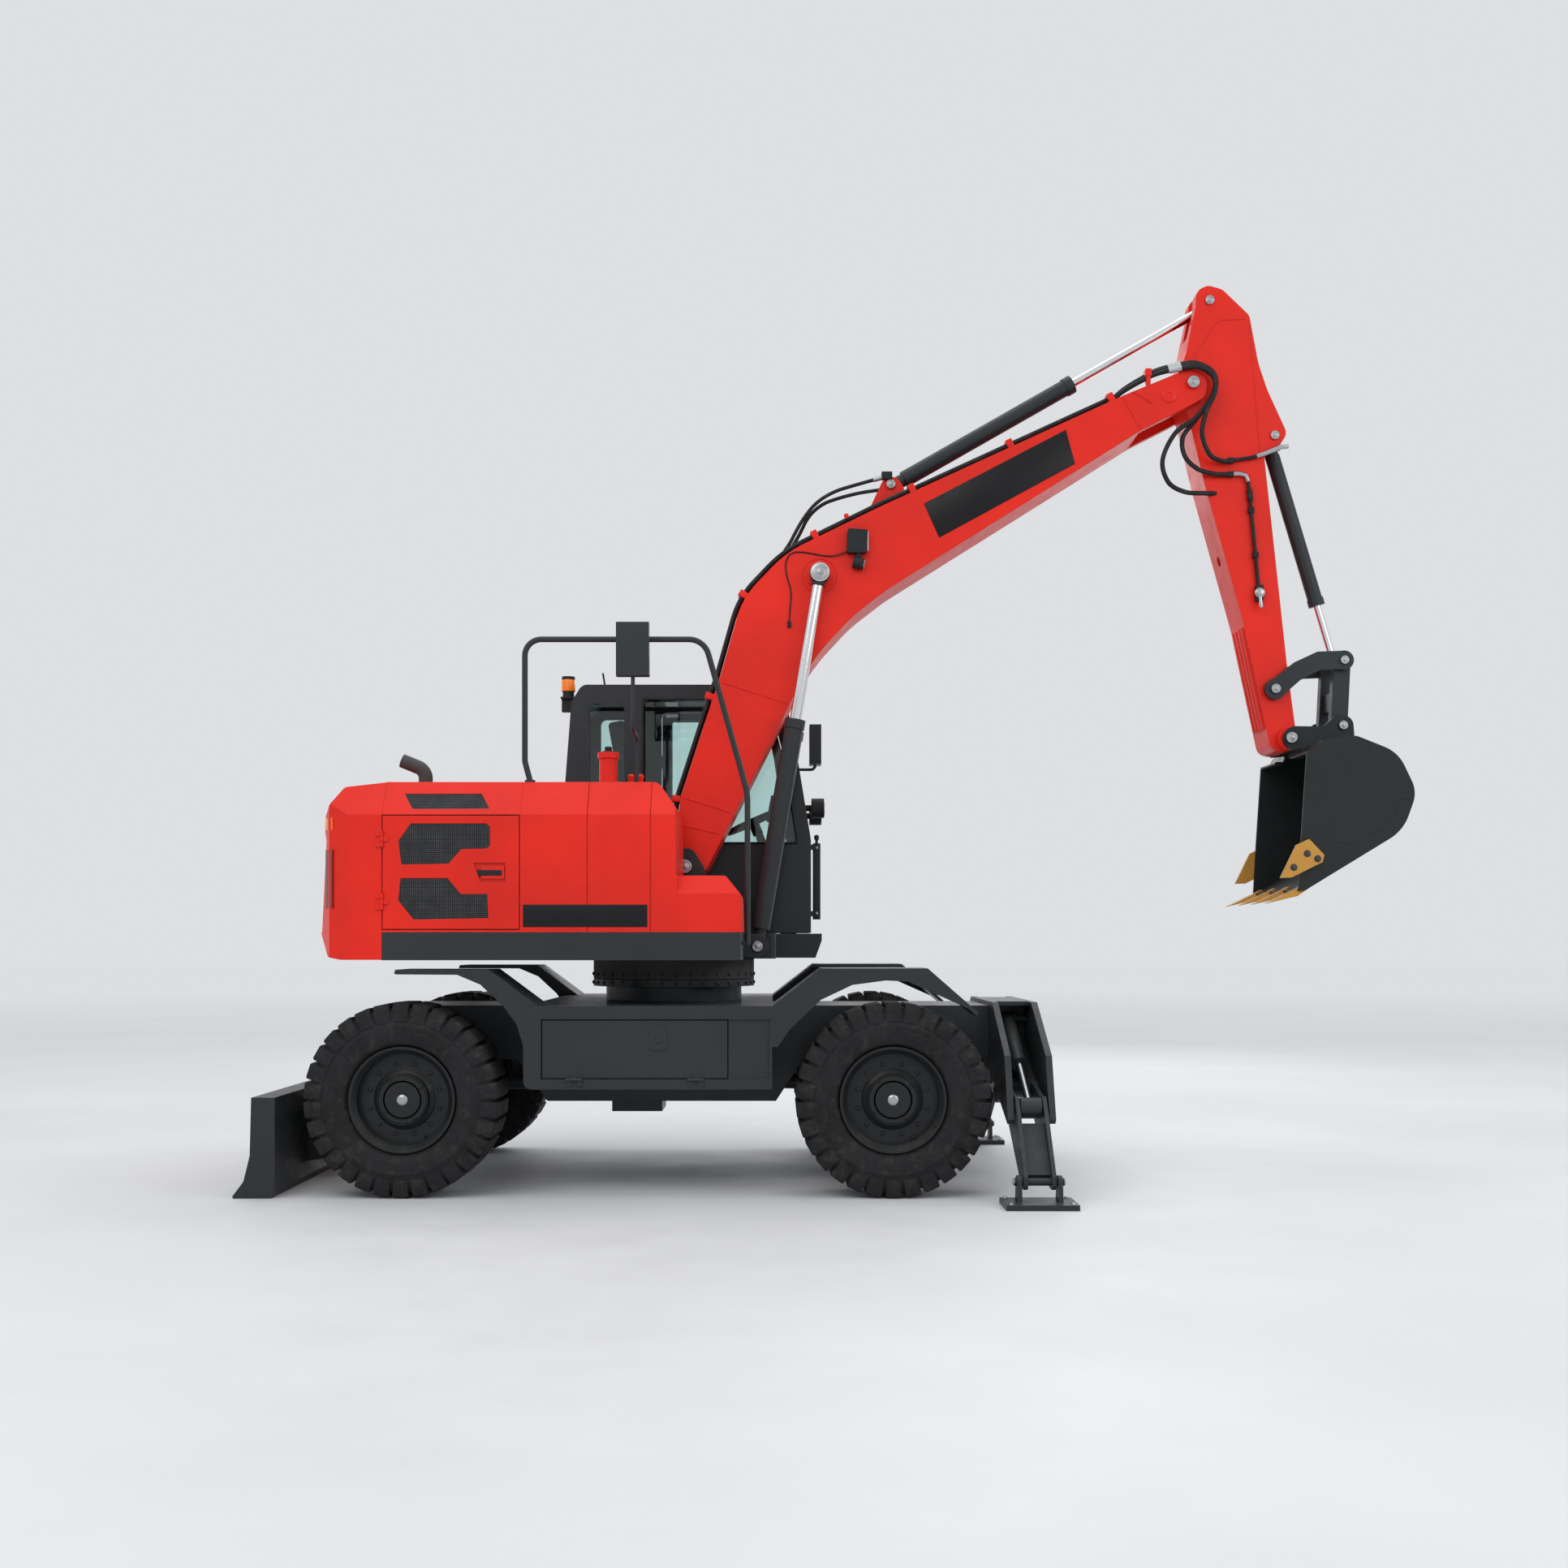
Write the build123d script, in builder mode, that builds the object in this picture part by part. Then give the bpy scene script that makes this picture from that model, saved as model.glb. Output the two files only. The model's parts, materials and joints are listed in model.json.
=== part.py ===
from build123d import *
import math
import os

# Wheeled excavator, in millimetres: +X forward, +Y left, +Z up, the ground at Z = 0.
# All places are measured from the slew axis on the ground. Pieces are stored shifted by
# ORIGIN_X, so that the origin lies under the middle of the whole machine.
ORIGIN_X = -1035.0
RUN_FIT = 0.06  # radial clearance of a pin or rod in its bore
GAP = 6.0  # clearance between pieces that move past each other
SEAM = 5.0  # gap round doors and lids
EYE_NECK = 45.0  # length of the neck between a cylinder and its foot eye

# Wheels and axles
TYRE_R = 530.0
TYRE_HALF_W = 210.0
WHEEL_Y = 1040.0
RIM_R = 290.0
RIM_HALF_W = 172.0
RIM_WALL = 12.0
HUB_R = 140.0
SPINDLE_R = 60.0
AXLE_R = 85.0
REAR_AXLE_X = -1408.0
FRONT_AXLE_X = 1255.0
KINGPIN_Y = 930.0
KINGPIN_R = 30.0
STEER_ARM = 165.0
TIE_ROD_DROP = 110.0

# Chassis
FRAME_HALF_W = 400.0
FRAME_TOP = 1015.0
FRAME_BOTTOM = 700.0
BELLY_Z = 455.0
DECK_T = 25.0
DECK_X = (-751.0, 599.0)
DECK_HALF_W = 1200.0
DECK_TOP = FRAME_TOP + DECK_T
BOX_BOTTOM = 586.0
BOX_INNER_Y = 700.0
BOX_WALL = 12.0
FENDER_TOP = 1244.0
FENDER_T = 22.0
FENDER_INNER_Y = 800.0

# Slew ring
PEDESTAL_R = 410.0
SLEW_R = 487.0
SLEW_BORE = 330.0
SLEW_JOINT_Z = 1165.0
PLATFORM_BOTTOM = 1288.0
PLATFORM_TOP = 1440.0

# Upper body
BODY_HALF_W = 1220.0
BODY_TOP = 2265.0
SHOULDER_Z = 2076.0
TOP_HALF_W = 1080.0
BODY_WALL = 25.0
DOOR_T = 40.0
DOOR_SKIN = 20.0
TAIL_X = -1885.0
WEIGHT_FRONT_X = -1514.0
BAY_FRONT_X = -766.0
TANK_FRONT_X = 77.0
STEP_FRONT_X = 436.0
STEP_Z = 1749.0
TANK_INNER_Y = 370.0

# Cab
CAB_Y = (375.0, 1225.0)
CAB_WALL = 40.0
CAB_FLOOR = 1446.0
CAB_ROOF = 3008.0
GLASS_T = 6.0

# Boom, stick and bucket: pins as (x, z)
BOOM_FOOT = (80.0, 1835.0)
BOOM_TIP = (3108.0, 4725.0)
BOOM_HALF_W = 215.0
FORK_HALF_GAP = 160.0
STICK_HALF_W = 150.0
STICK_TOP = (3224.0, 5240.0)
BOOM_CYL_BASE = (511.0, 1361.0)
BOOM_CYL_ROD = (880.0, 3571.0)
BOOM_CYL_Y = 292.0
STICK_CYL_BASE = (1314.0, 4153.0)
BUCKET_CYL_BASE = (3614.0, 4429.0)
ROCKER_PIN = (3609.0, 2902.0)
LINK_PIN = (4020.0, 3074.0)
BUCKET_LINK_PIN = (4001.0, 2679.0)
BUCKET_PIN = (3693.0, 2605.0)
BUCKET_HALF_W = 500.0
BUCKET_WALL = 16.0
EAR_Y = (196.0, 226.0)
ROCKER_Y = (158.0, 189.0)
PLATE_T = 14.0

# Blade
BLADE_PIVOT = (-1690.0, 560.0)
BLADE_HALF_W = 1220.0
BLADE_TOP = 545.0
BLADE_BACK_X = -2093.0
BLADE_CYL_TOP = (-1700.0, 880.0)
BLADE_CYL_ROD = (-2040.0, 350.0)
BLADE_CYL_Y = 230.0

# Stabilisers: places as (distance from the centre plane, z)
STAB_X = (1868.0, 2128.0)
STAB_PLATE = 20.0
LEG_X = 1998.0
LEG_HALF_W = 85.0
LEG_PIVOT = (700.0, 560.0)
LEG_EYE = (1200.0, 487.0)
LEG_CYL_TOP = (250.0, 930.0)
FOOT_PIN = (1525.0, 130.0)
PAD_SIZE = (380.0, 300.0, 28.0)


def save(part, label):
    """Shifts a finished piece to the machine's origin and writes it."""
    moved = Pos(ORIGIN_X, 0, 0) * part
    moved.label = label
    export_step(moved, f"parts/{label}.step")


def area(plane, rows):
    """A closed face on a plane from rows of (first, second, corner radius)."""
    with BuildSketch(plane) as face:
        with BuildLine():
            FilletPolyline(*[row[:2] for row in rows], radius=[row[2] for row in rows], close=True)
        make_face()
    return face.sketch


def sharp(points):
    """Rows with no corner radius from plain points."""
    return [(first, second, 0.0) for first, second in points]


def plate_y(rows, y_low, y_high, mode=Mode.ADD):
    """A plate with an (x, z) outline between two distances across the machine."""
    extrude(area(Plane.XZ.offset(-y_high), rows), amount=y_high - y_low, mode=mode)


def plate_x(rows, x_low, x_high, mode=Mode.ADD):
    """A plate with a (y, z) outline between two distances along the machine."""
    extrude(area(Plane.YZ.offset(x_low), rows), amount=x_high - x_low, mode=mode)


def plate_z(rows, z_low, z_high, mode=Mode.ADD):
    """A plate with an (x, y) outline between two heights."""
    extrude(area(Plane.XY.offset(z_low), rows), amount=z_high - z_low, mode=mode)


def block(x, y, z, mode=Mode.ADD):
    """A box between pairs of limits."""
    with Locations(((x[0] + x[1]) / 2, (y[0] + y[1]) / 2, (z[0] + z[1]) / 2)):
        Box(x[1] - x[0], y[1] - y[0], z[1] - z[0], mode=mode)


def bar(start, end, radius, mode=Mode.ADD):
    """A round bar between two points."""
    run = Vector(*end) - Vector(*start)
    with Locations(Plane(origin=start, z_dir=run)):
        Cylinder(radius, run.length, align=(Align.CENTER, Align.CENTER, Align.MIN), mode=mode)


def cross_bar(pin, radius, y_low, y_high, mode=Mode.ADD):
    """A round bar across the machine at a pin's (x, z)."""
    bar((pin[0], y_low, pin[1]), (pin[0], y_high, pin[1]), radius, mode)


def pair(y_low, y_high):
    """The same span on the right and on the left."""
    return ((-y_high, -y_low), (y_low, y_high))


def tube(points, bend, radius):
    """A round bar swept along straight runs with rounded corners."""
    with BuildLine() as line:
        FilletPolyline(*points, radius=bend)
    path = line.line
    with BuildSketch(Plane(origin=path @ 0, z_dir=path % 0)) as section:
        Circle(radius)
    sweep(sections=section.sketch, path=path)


HINGE_R = 9.0
HINGE_PIN_R = 4.5
HINGE_ENDS = ((0, 30), (60, 90))
HINGE_MIDDLE = (31, 59)


def hinge_fixed(start, run):
    """The outer knuckles of a hinge and the pin they hold, along a unit direction."""
    base, way = Vector(*start), Vector(*run)
    for low, high in HINGE_ENDS:
        bar(tuple(base + way * low), tuple(base + way * high), HINGE_R)
    bar(start, tuple(base + way * HINGE_ENDS[1][1]), HINGE_PIN_R)


def hinge_moving(start, run):
    """The middle knuckle of a hinge, bored for the pin."""
    base, way = Vector(*start), Vector(*run)
    low, high = (tuple(base + way * distance) for distance in HINGE_MIDDLE)
    bar(low, high, HINGE_R)
    bar(low, high, HINGE_PIN_R + RUN_FIT, Mode.SUBTRACT)


def beam_inside(rows, half_w, wall):
    """The hollow of a welded box beam with an (x, z) outline."""
    with BuildSketch(Plane.XZ.offset(-half_w)) as inside:
        with BuildLine():
            FilletPolyline(*[row[:2] for row in rows], radius=[row[2] for row in rows], close=True)
        make_face()
        offset(amount=-wall, mode=Mode.REPLACE)
    extrude(inside.sketch, amount=2 * half_w)


def along(start, end, distance):
    """The (x, z) point at a distance from start towards end."""
    length = math.dist(start, end)
    return tuple(a + (b - a) * distance / length for a, b in zip(start, end))


def arm_rows(start, end, start_r, end_r):
    """A straight arm's outline: a quadrilateral that touches both end rounds."""
    length = math.dist(start, end)
    ux, uz = (end[0] - start[0]) / length, (end[1] - start[1]) / length
    lean = math.asin((start_r - end_r) / length)
    rows = []
    for side, (centre, radius) in (
        (1, (start, start_r)), (1, (end, end_r)), (-1, (end, end_r)), (-1, (start, start_r))
    ):
        nx = ux * math.sin(lean) - side * uz * math.cos(lean)
        nz = uz * math.sin(lean) + side * ux * math.cos(lean)
        rows.append((centre[0] + radius * nx, centre[1] + radius * nz, 0.0))
    return rows


def barrel_of(base, rod, y, barrel_r, rod_r, length, eye_half, eye_r, pin_r):
    """A cylinder barrel with its base eye, bored for the rod."""
    root, start, end = (along(base, rod, distance) for distance in (eye_r * 0.7, eye_r + EYE_NECK, length))
    bar((root[0], y, root[1]), (start[0], y, start[1]), eye_half - 4)
    bar((start[0], y, start[1]), (end[0], y, end[1]), barrel_r)
    neck = along(base, rod, length - barrel_r)
    bar((neck[0], y, neck[1]), (end[0], y, end[1]), barrel_r * 1.12)
    cross_bar(base, eye_r, y - eye_half, y + eye_half)
    foot = along(base, rod, eye_r + EYE_NECK + 8)
    bar((foot[0], y, foot[1]), (end[0], y, end[1]), rod_r + RUN_FIT, Mode.SUBTRACT)
    cross_bar(base, pin_r + RUN_FIT, y - eye_half, y + eye_half, Mode.SUBTRACT)


def rod_of(base, rod, y, rod_r, rod_length, eye_half, eye_r):
    """A cylinder rod with its eye."""
    full = math.dist(base, rod)
    inner = along(base, rod, full - rod_length)
    bar((inner[0], y, inner[1]), (rod[0], y, rod[1]), rod_r)
    cross_bar(rod, eye_r, y - eye_half, y + eye_half)


os.makedirs("parts", exist_ok=True)

# ---------------------------------------------------------------- wheels

# Each tyre has flat faces round its axis, with lugs right across the tread, one of them under the axle.
BARREL_R = RIM_R - 28
LUGS = 30
LUG_PITCH = 360 / LUGS
LUG_TIP = 0.36 * LUG_PITCH
LUG_ROOT = 0.42 * LUG_PITCH
LUG_R = TYRE_R / math.cos(math.radians(LUG_TIP))
GROOVE_R = TYRE_R - 26
LUG_END_Y = TYRE_HALF_W - 18
# Rings of the side wall and of the bead hollow: (distance from the middle plane, distance from the axis)
WALL_RINGS = ((LUG_END_Y, GROOVE_R - 6), (TYRE_HALF_W - 4, TYRE_R - 62), (TYRE_HALF_W, TYRE_R - 125))
BEAD_RINGS = ((RIM_HALF_W - 22, RIM_R + 4), (TYRE_HALF_W - 16, RIM_R + 14), (TYRE_HALF_W, TYRE_R - 125))


def lug_outline():
    """Outline of the lugs and the grooves between them."""
    corners = ((-LUG_ROOT, GROOVE_R), (-LUG_TIP, LUG_R), (LUG_TIP, LUG_R), (LUG_ROOT, GROOVE_R))
    points = []
    for lug in range(LUGS):
        for spread, reach in corners:
            angle = math.radians(lug * LUG_PITCH - 90 + spread)
            points.append((reach * math.cos(angle), reach * math.sin(angle)))
    return points


def wheel_ring(y, reach):
    """Corners of a many-sided ring round the Y axis."""
    turns = [math.radians(lug * LUG_PITCH) for lug in range(LUGS)]
    return [(reach * math.cos(turn), y, reach * math.sin(turn)) for turn in turns]


def frustum(low, high):
    """A solid with flat faces between two rings, each (y, distance from the axis)."""
    first, second = wheel_ring(*low), wheel_ring(*high)
    faces = [Face(Wire.make_polygon(first)), Face(Wire.make_polygon(second))]
    for index in range(LUGS):
        after = (index + 1) % LUGS
        faces.append(Face(Wire.make_polygon([first[index], first[after], second[after], second[index]])))
    return Solid(Shell(faces))


with BuildPart() as tyre:
    with BuildSketch(Plane.XZ.offset(-LUG_END_Y)):
        with BuildLine():
            Polyline(*lug_outline(), close=True)
        make_face()
    extrude(amount=2 * LUG_END_Y)
    for side in (-1, 1):
        for rings, mode in ((WALL_RINGS, Mode.ADD), (BEAD_RINGS, Mode.SUBTRACT)):
            for low, high in zip(rings, rings[1:]):
                add(frustum((side * low[0], low[1]), (side * high[0], high[1])), mode=mode)
    bore = (BARREL_R + 0.3) / math.cos(math.radians(LUG_PITCH / 2))
    add(frustum((-TYRE_HALF_W - 1, bore), (TYRE_HALF_W + 1, bore)), mode=Mode.SUBTRACT)

# Rim of the right wheel about its own centre, its outer face towards -Y.
DISC_Y = -62.0
HUB_FACE_Y = -152.0
SPINDLE_END_Y = -110.0
RIM_ROWS = [
    (BARREL_R, -RIM_HALF_W + 22),
    (RIM_R, -RIM_HALF_W + 22),
    (RIM_R, -RIM_HALF_W),
    (RIM_R - 14, -RIM_HALF_W),
    (BARREL_R - RIM_WALL, -RIM_HALF_W + 30),
    (BARREL_R - RIM_WALL, DISC_Y - 16),
    (HUB_R + 30, DISC_Y - 16),
    (HUB_R, DISC_Y - 34),
    (HUB_R, HUB_FACE_Y + 12),
    (HUB_R - 12, HUB_FACE_Y),
    (0, HUB_FACE_Y),
    (0, SPINDLE_END_Y - 1),
    (SPINDLE_R + RUN_FIT, SPINDLE_END_Y - 1),
    (SPINDLE_R + RUN_FIT, DISC_Y + 30),
    (HUB_R - 20, DISC_Y + 30),
    (HUB_R + 10, DISC_Y),
    (BARREL_R - RIM_WALL, DISC_Y),
    (BARREL_R - RIM_WALL, RIM_HALF_W - 30),
    (RIM_R - 14, RIM_HALF_W),
    (RIM_R, RIM_HALF_W),
    (RIM_R, RIM_HALF_W - 22),
    (BARREL_R, RIM_HALF_W - 22),
]
with BuildPart() as rim:
    with BuildSketch(Plane.XY):
        with BuildLine():
            Polyline(*RIM_ROWS, close=True)
        make_face()
    revolve(axis=Axis.Y)
    with BuildSketch(Plane.XZ.offset(-HUB_FACE_Y - 4)) as groove:
        Circle(HUB_R - 34)
        Circle(HUB_R - 44, mode=Mode.SUBTRACT)
    extrude(groove.sketch, amount=10, mode=Mode.SUBTRACT)

for end_name, axle_x in (("rear", REAR_AXLE_X), ("front", FRONT_AXLE_X)):
    for side_name, side in (("right", -1), ("left", 1)):
        place = Pos(axle_x, side * WHEEL_Y, TYRE_R) * Rot(0, 0, 0 if side < 0 else 180)
        save(place * tyre.part, f"tyre_{end_name}_{side_name}")
        save(place * rim.part, f"rim_{end_name}_{side_name}")

# ---------------------------------------------------------------- axles and steering

DIFF_R = 165.0
KNUCKLE_HALF_H = 150.0
YOKE_T = 40.0
SPINDLE_TIP = WHEEL_Y - SPINDLE_END_Y
BRAKE_R = 118.0
with BuildPart() as axles:
    with Locations((REAR_AXLE_X, 0, TYRE_R)):
        Sphere(DIFF_R)
    bar((REAR_AXLE_X, -880, TYRE_R), (REAR_AXLE_X, 880, TYRE_R), AXLE_R)
    for low, high in pair(780, 960):
        bar((REAR_AXLE_X, low, TYRE_R), (REAR_AXLE_X, high, TYRE_R), BRAKE_R)
    bar((REAR_AXLE_X, -SPINDLE_TIP, TYRE_R), (REAR_AXLE_X, SPINDLE_TIP, TYRE_R), SPINDLE_R)
    for low, high in pair(250, 380):
        block((REAR_AXLE_X - 90, REAR_AXLE_X + 90), (low, high), (TYRE_R + 20, FRAME_BOTTOM))
    with Locations((FRONT_AXLE_X, 0, TYRE_R)):
        Sphere(DIFF_R)
    bar((FRONT_AXLE_X, -770, TYRE_R), (FRONT_AXLE_X, 770, TYRE_R), AXLE_R)
    block((FRONT_AXLE_X - 120, FRONT_AXLE_X + 120), (-140, 140), (TYRE_R + 60, FRAME_BOTTOM))
    for low, high in pair(740, 800):
        block(
            (FRONT_AXLE_X - 70, FRONT_AXLE_X + 70),
            (low, high),
            (TYRE_R - KNUCKLE_HALF_H - YOKE_T - 2, TYRE_R + KNUCKLE_HALF_H + YOKE_T + 2),
        )
    for low, high in pair(740, KINGPIN_Y):
        for sign in (1, -1):
            inner = TYRE_R + sign * (KNUCKLE_HALF_H + 2)
            outer = inner + sign * YOKE_T
            block(
                (FRONT_AXLE_X - 55, FRONT_AXLE_X + 55), (low, high), (min(inner, outer), max(inner, outer))
            )
    for y in (-KINGPIN_Y, KINGPIN_Y):
        for sign in (1, -1):
            inner = TYRE_R + sign * (KNUCKLE_HALF_H + 2)
            bar((FRONT_AXLE_X, y, inner), (FRONT_AXLE_X, y, inner + sign * YOKE_T), 55)
            bar((FRONT_AXLE_X, y, inner + sign * YOKE_T), (FRONT_AXLE_X, y, inner - sign * 60), KINGPIN_R)
save(axles.part, "axles")

TIE_Z = TYRE_R - TIE_ROD_DROP
TIE_PIN_R = 12.0
with BuildPart() as knuckle:
    low_z, high_z = TYRE_R - KNUCKLE_HALF_H, TYRE_R + KNUCKLE_HALF_H
    bar((FRONT_AXLE_X, -KINGPIN_Y, low_z), (FRONT_AXLE_X, -KINGPIN_Y, high_z), 62)
    bar((FRONT_AXLE_X, -KINGPIN_Y - 20, TYRE_R), (FRONT_AXLE_X, -KINGPIN_Y - 75, TYRE_R), 100)
    bar((FRONT_AXLE_X, -KINGPIN_Y - 20, TYRE_R), (FRONT_AXLE_X, -SPINDLE_TIP, TYRE_R), SPINDLE_R)
    block(
        (FRONT_AXLE_X - STEER_ARM, FRONT_AXLE_X),
        (-KINGPIN_Y - 25, -KINGPIN_Y + 25),
        (TIE_Z - 15, TIE_Z + 15),
    )
    tie_x = FRONT_AXLE_X - STEER_ARM
    bar((tie_x, -KINGPIN_Y, TIE_Z - 15), (tie_x, -KINGPIN_Y, TIE_Z + 15), 25)
    bar((tie_x, -KINGPIN_Y, TIE_Z - 45), (tie_x, -KINGPIN_Y, TIE_Z), TIE_PIN_R)
    for start, end in ((low_z, low_z + 64), (high_z - 64, high_z)):
        bar(
            (FRONT_AXLE_X, -KINGPIN_Y, start), (FRONT_AXLE_X, -KINGPIN_Y, end), KINGPIN_R + RUN_FIT,
            Mode.SUBTRACT,
        )
save(knuckle.part, "knuckle_right")
save(mirror(knuckle.part, about=Plane.XZ), "knuckle_left")

with BuildPart() as tie_rod:
    tie_low = TIE_Z - 15 - 1 - 24
    bar((tie_x, -KINGPIN_Y + 10, tie_low + 12), (tie_x, KINGPIN_Y - 10, tie_low + 12), 10)
    for y in (-KINGPIN_Y, KINGPIN_Y):
        bar((tie_x, y, tie_low), (tie_x, y, tie_low + 24), 24)
    for y in (-KINGPIN_Y, KINGPIN_Y):
        bar((tie_x, y, tie_low), (tie_x, y, tie_low + 24), TIE_PIN_R + 0.5, Mode.SUBTRACT)
save(tie_rod.part, "tie_rod")

# ---------------------------------------------------------------- chassis

with BuildPart() as chassis:
    block((-1600, STAB_X[0]), (-FRAME_HALF_W, FRAME_HALF_W), (FRAME_BOTTOM, FRAME_TOP))
    plate_y(
        sharp(
            [
                (-900, FRAME_BOTTOM), (-720, BELLY_Z), (620, BELLY_Z), (780, FRAME_BOTTOM), (780, 740),
                (-900, 740),
            ],
        ),
        -FRAME_HALF_W,
        FRAME_HALF_W,
    )
    block((-360, -60), (-190, 190), (BELLY_Z - 80, BELLY_Z))
    bar((-330, 0, TYRE_R + 20), (REAR_AXLE_X + 100, 0, TYRE_R), 45)
    bar((300, 0, TYRE_R + 20), (FRONT_AXLE_X - 100, 0, TYRE_R), 45)
    for axle_x in (REAR_AXLE_X, FRONT_AXLE_X):
        with Locations((axle_x, 0, TYRE_R)):
            Sphere(DIFF_R + 0.3, mode=Mode.SUBTRACT)
    for low, high in pair(300, 330):
        plate_y(
            sharp(
                [(-1500, FRAME_TOP), (-1770, 960), (-1770, 470), (-1600, 470), (-1500, FRAME_BOTTOM)]
            ), low, high
        )
    for low, high in pair(130, 160):
        plate_y(sharp([(-1590, FRAME_TOP), (-1770, 960), (-1770, 790), (-1590, 760)]), low, high)
    block((DECK_X[0], DECK_X[1]), (-DECK_HALF_W, DECK_HALF_W), (FRAME_TOP, FRAME_TOP + DECK_T))
    for low, high in pair(FRAME_HALF_W - 1, BOX_INNER_Y):
        block((-600, -560), (low, high), (700, FRAME_TOP))
        block((420, 460), (low, high), (700, FRAME_TOP))
    for low, high in pair(300, 330):
        cross_bar(BLADE_PIVOT, 36 + RUN_FIT, low, high, Mode.SUBTRACT)
    for low, high in pair(130, 330):
        cross_bar(BLADE_CYL_TOP, 25, low, high)
    bar((-1600, 0, 850), (-1700, 0, 850), 30)
    bar((0, 0, DECK_TOP - 1), (0, 0, SLEW_JOINT_Z - 40), PEDESTAL_R)
    bar((0, 0, SLEW_JOINT_Z - 41), (0, 0, SLEW_JOINT_Z), SLEW_R)
    bar((0, 0, SLEW_JOINT_Z - 1), (0, 0, SLEW_JOINT_Z + 80), SLEW_BORE - RUN_FIT)
    bar((0, 0, DECK_TOP), (0, 0, SLEW_JOINT_Z + 80), SLEW_BORE - 60, Mode.SUBTRACT)
save(chassis.part, "chassis_frame")

BOX_X = DECK_X
DOOR_X = (-655.0, 361.0)
DOOR_Z = (642.0, 967.0)
BOX_AXIS = (-DECK_HALF_W - 10, DOOR_Z[0] - 2)
BOX_HINGE_X = (-520.0, 140.0)
STEP_BAY_X = (40.0, 520.0)
BOX_ROWS = [
    (BOX_X[0], BOX_BOTTOM, 45), (BOX_X[1], BOX_BOTTOM, 8), (BOX_X[1], FRAME_TOP, 0),
    (BOX_X[0], FRAME_TOP, 0),
]
with BuildPart() as side_boxes:
    for low_y, high_y in pair(BOX_INNER_Y, DECK_HALF_W):
        plate_y(BOX_ROWS, low_y, high_y)
        block(
            (BOX_X[0] + BOX_WALL, BOX_X[1] - BOX_WALL),
            (low_y + BOX_WALL, high_y - BOX_WALL) if low_y > 0 else (
                low_y + BOX_WALL + 15, high_y - BOX_WALL
            ),
            (BOX_BOTTOM + BOX_WALL, FRAME_TOP - BOX_WALL),
            Mode.SUBTRACT,
        )
    block((DOOR_X[0], DOOR_X[1] + 225), (-DECK_HALF_W - 1, -DECK_HALF_W + 14), DOOR_Z, Mode.SUBTRACT)
    block(DOOR_X, (-DECK_HALF_W - 1, -DECK_HALF_W + BOX_WALL + 16), DOOR_Z, Mode.SUBTRACT)
    for x in BOX_HINGE_X:
        hinge_fixed((x, *BOX_AXIS), (1, 0, 0))
        for low, high in HINGE_ENDS:
            block((x + low, x + high), (-DECK_HALF_W - 7, -DECK_HALF_W), (BOX_AXIS[1] - 36, BOX_AXIS[1]))
    # Steps up to the cab on the left
    block(STEP_BAY_X, (DECK_HALF_W - 170, DECK_HALF_W + 1), (BOX_BOTTOM + 40, 780), Mode.SUBTRACT)
    block(STEP_BAY_X, (DECK_HALF_W - 170, DECK_HALF_W + 1), (810, FRAME_TOP - 10), Mode.SUBTRACT)
    block(
        (STEP_BAY_X[0] - 12, STEP_BAY_X[1] + 12), (DECK_HALF_W - 182, DECK_HALF_W - 170),
        (BOX_BOTTOM, FRAME_TOP),
    )
    for x in STEP_BAY_X:
        block((x - 12, x + 12), (DECK_HALF_W - 171, DECK_HALF_W), (BOX_BOTTOM, FRAME_TOP))
    for low, high in ((BOX_BOTTOM, BOX_BOTTOM + 40), (780, 810)):
        block(STEP_BAY_X, (DECK_HALF_W - 171, DECK_HALF_W), (low, high))
save(side_boxes.part, "side_boxes")

with BuildPart() as box_door:
    front_y = -DECK_HALF_W
    block(
        (DOOR_X[0] + SEAM, DOOR_X[1] - SEAM), (front_y + 8, front_y + 20),
        (DOOR_Z[0] + SEAM, DOOR_Z[1] - SEAM),
    )
    block((-61, 27), (front_y + 2, front_y + 9), (800, 914))
    bar((-17, front_y - 4, 857), (-17, front_y + 3, 857), 16)
    for x in BOX_HINGE_X:
        low, high = (x + distance for distance in HINGE_MIDDLE)
        block((low, high), (BOX_AXIS[0] - 2, front_y + 9), (DOOR_Z[0] + 2, DOOR_Z[0] + SEAM + 3))
        hinge_moving((x, *BOX_AXIS), (1, 0, 0))
save(box_door.part, "box_door")

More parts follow.
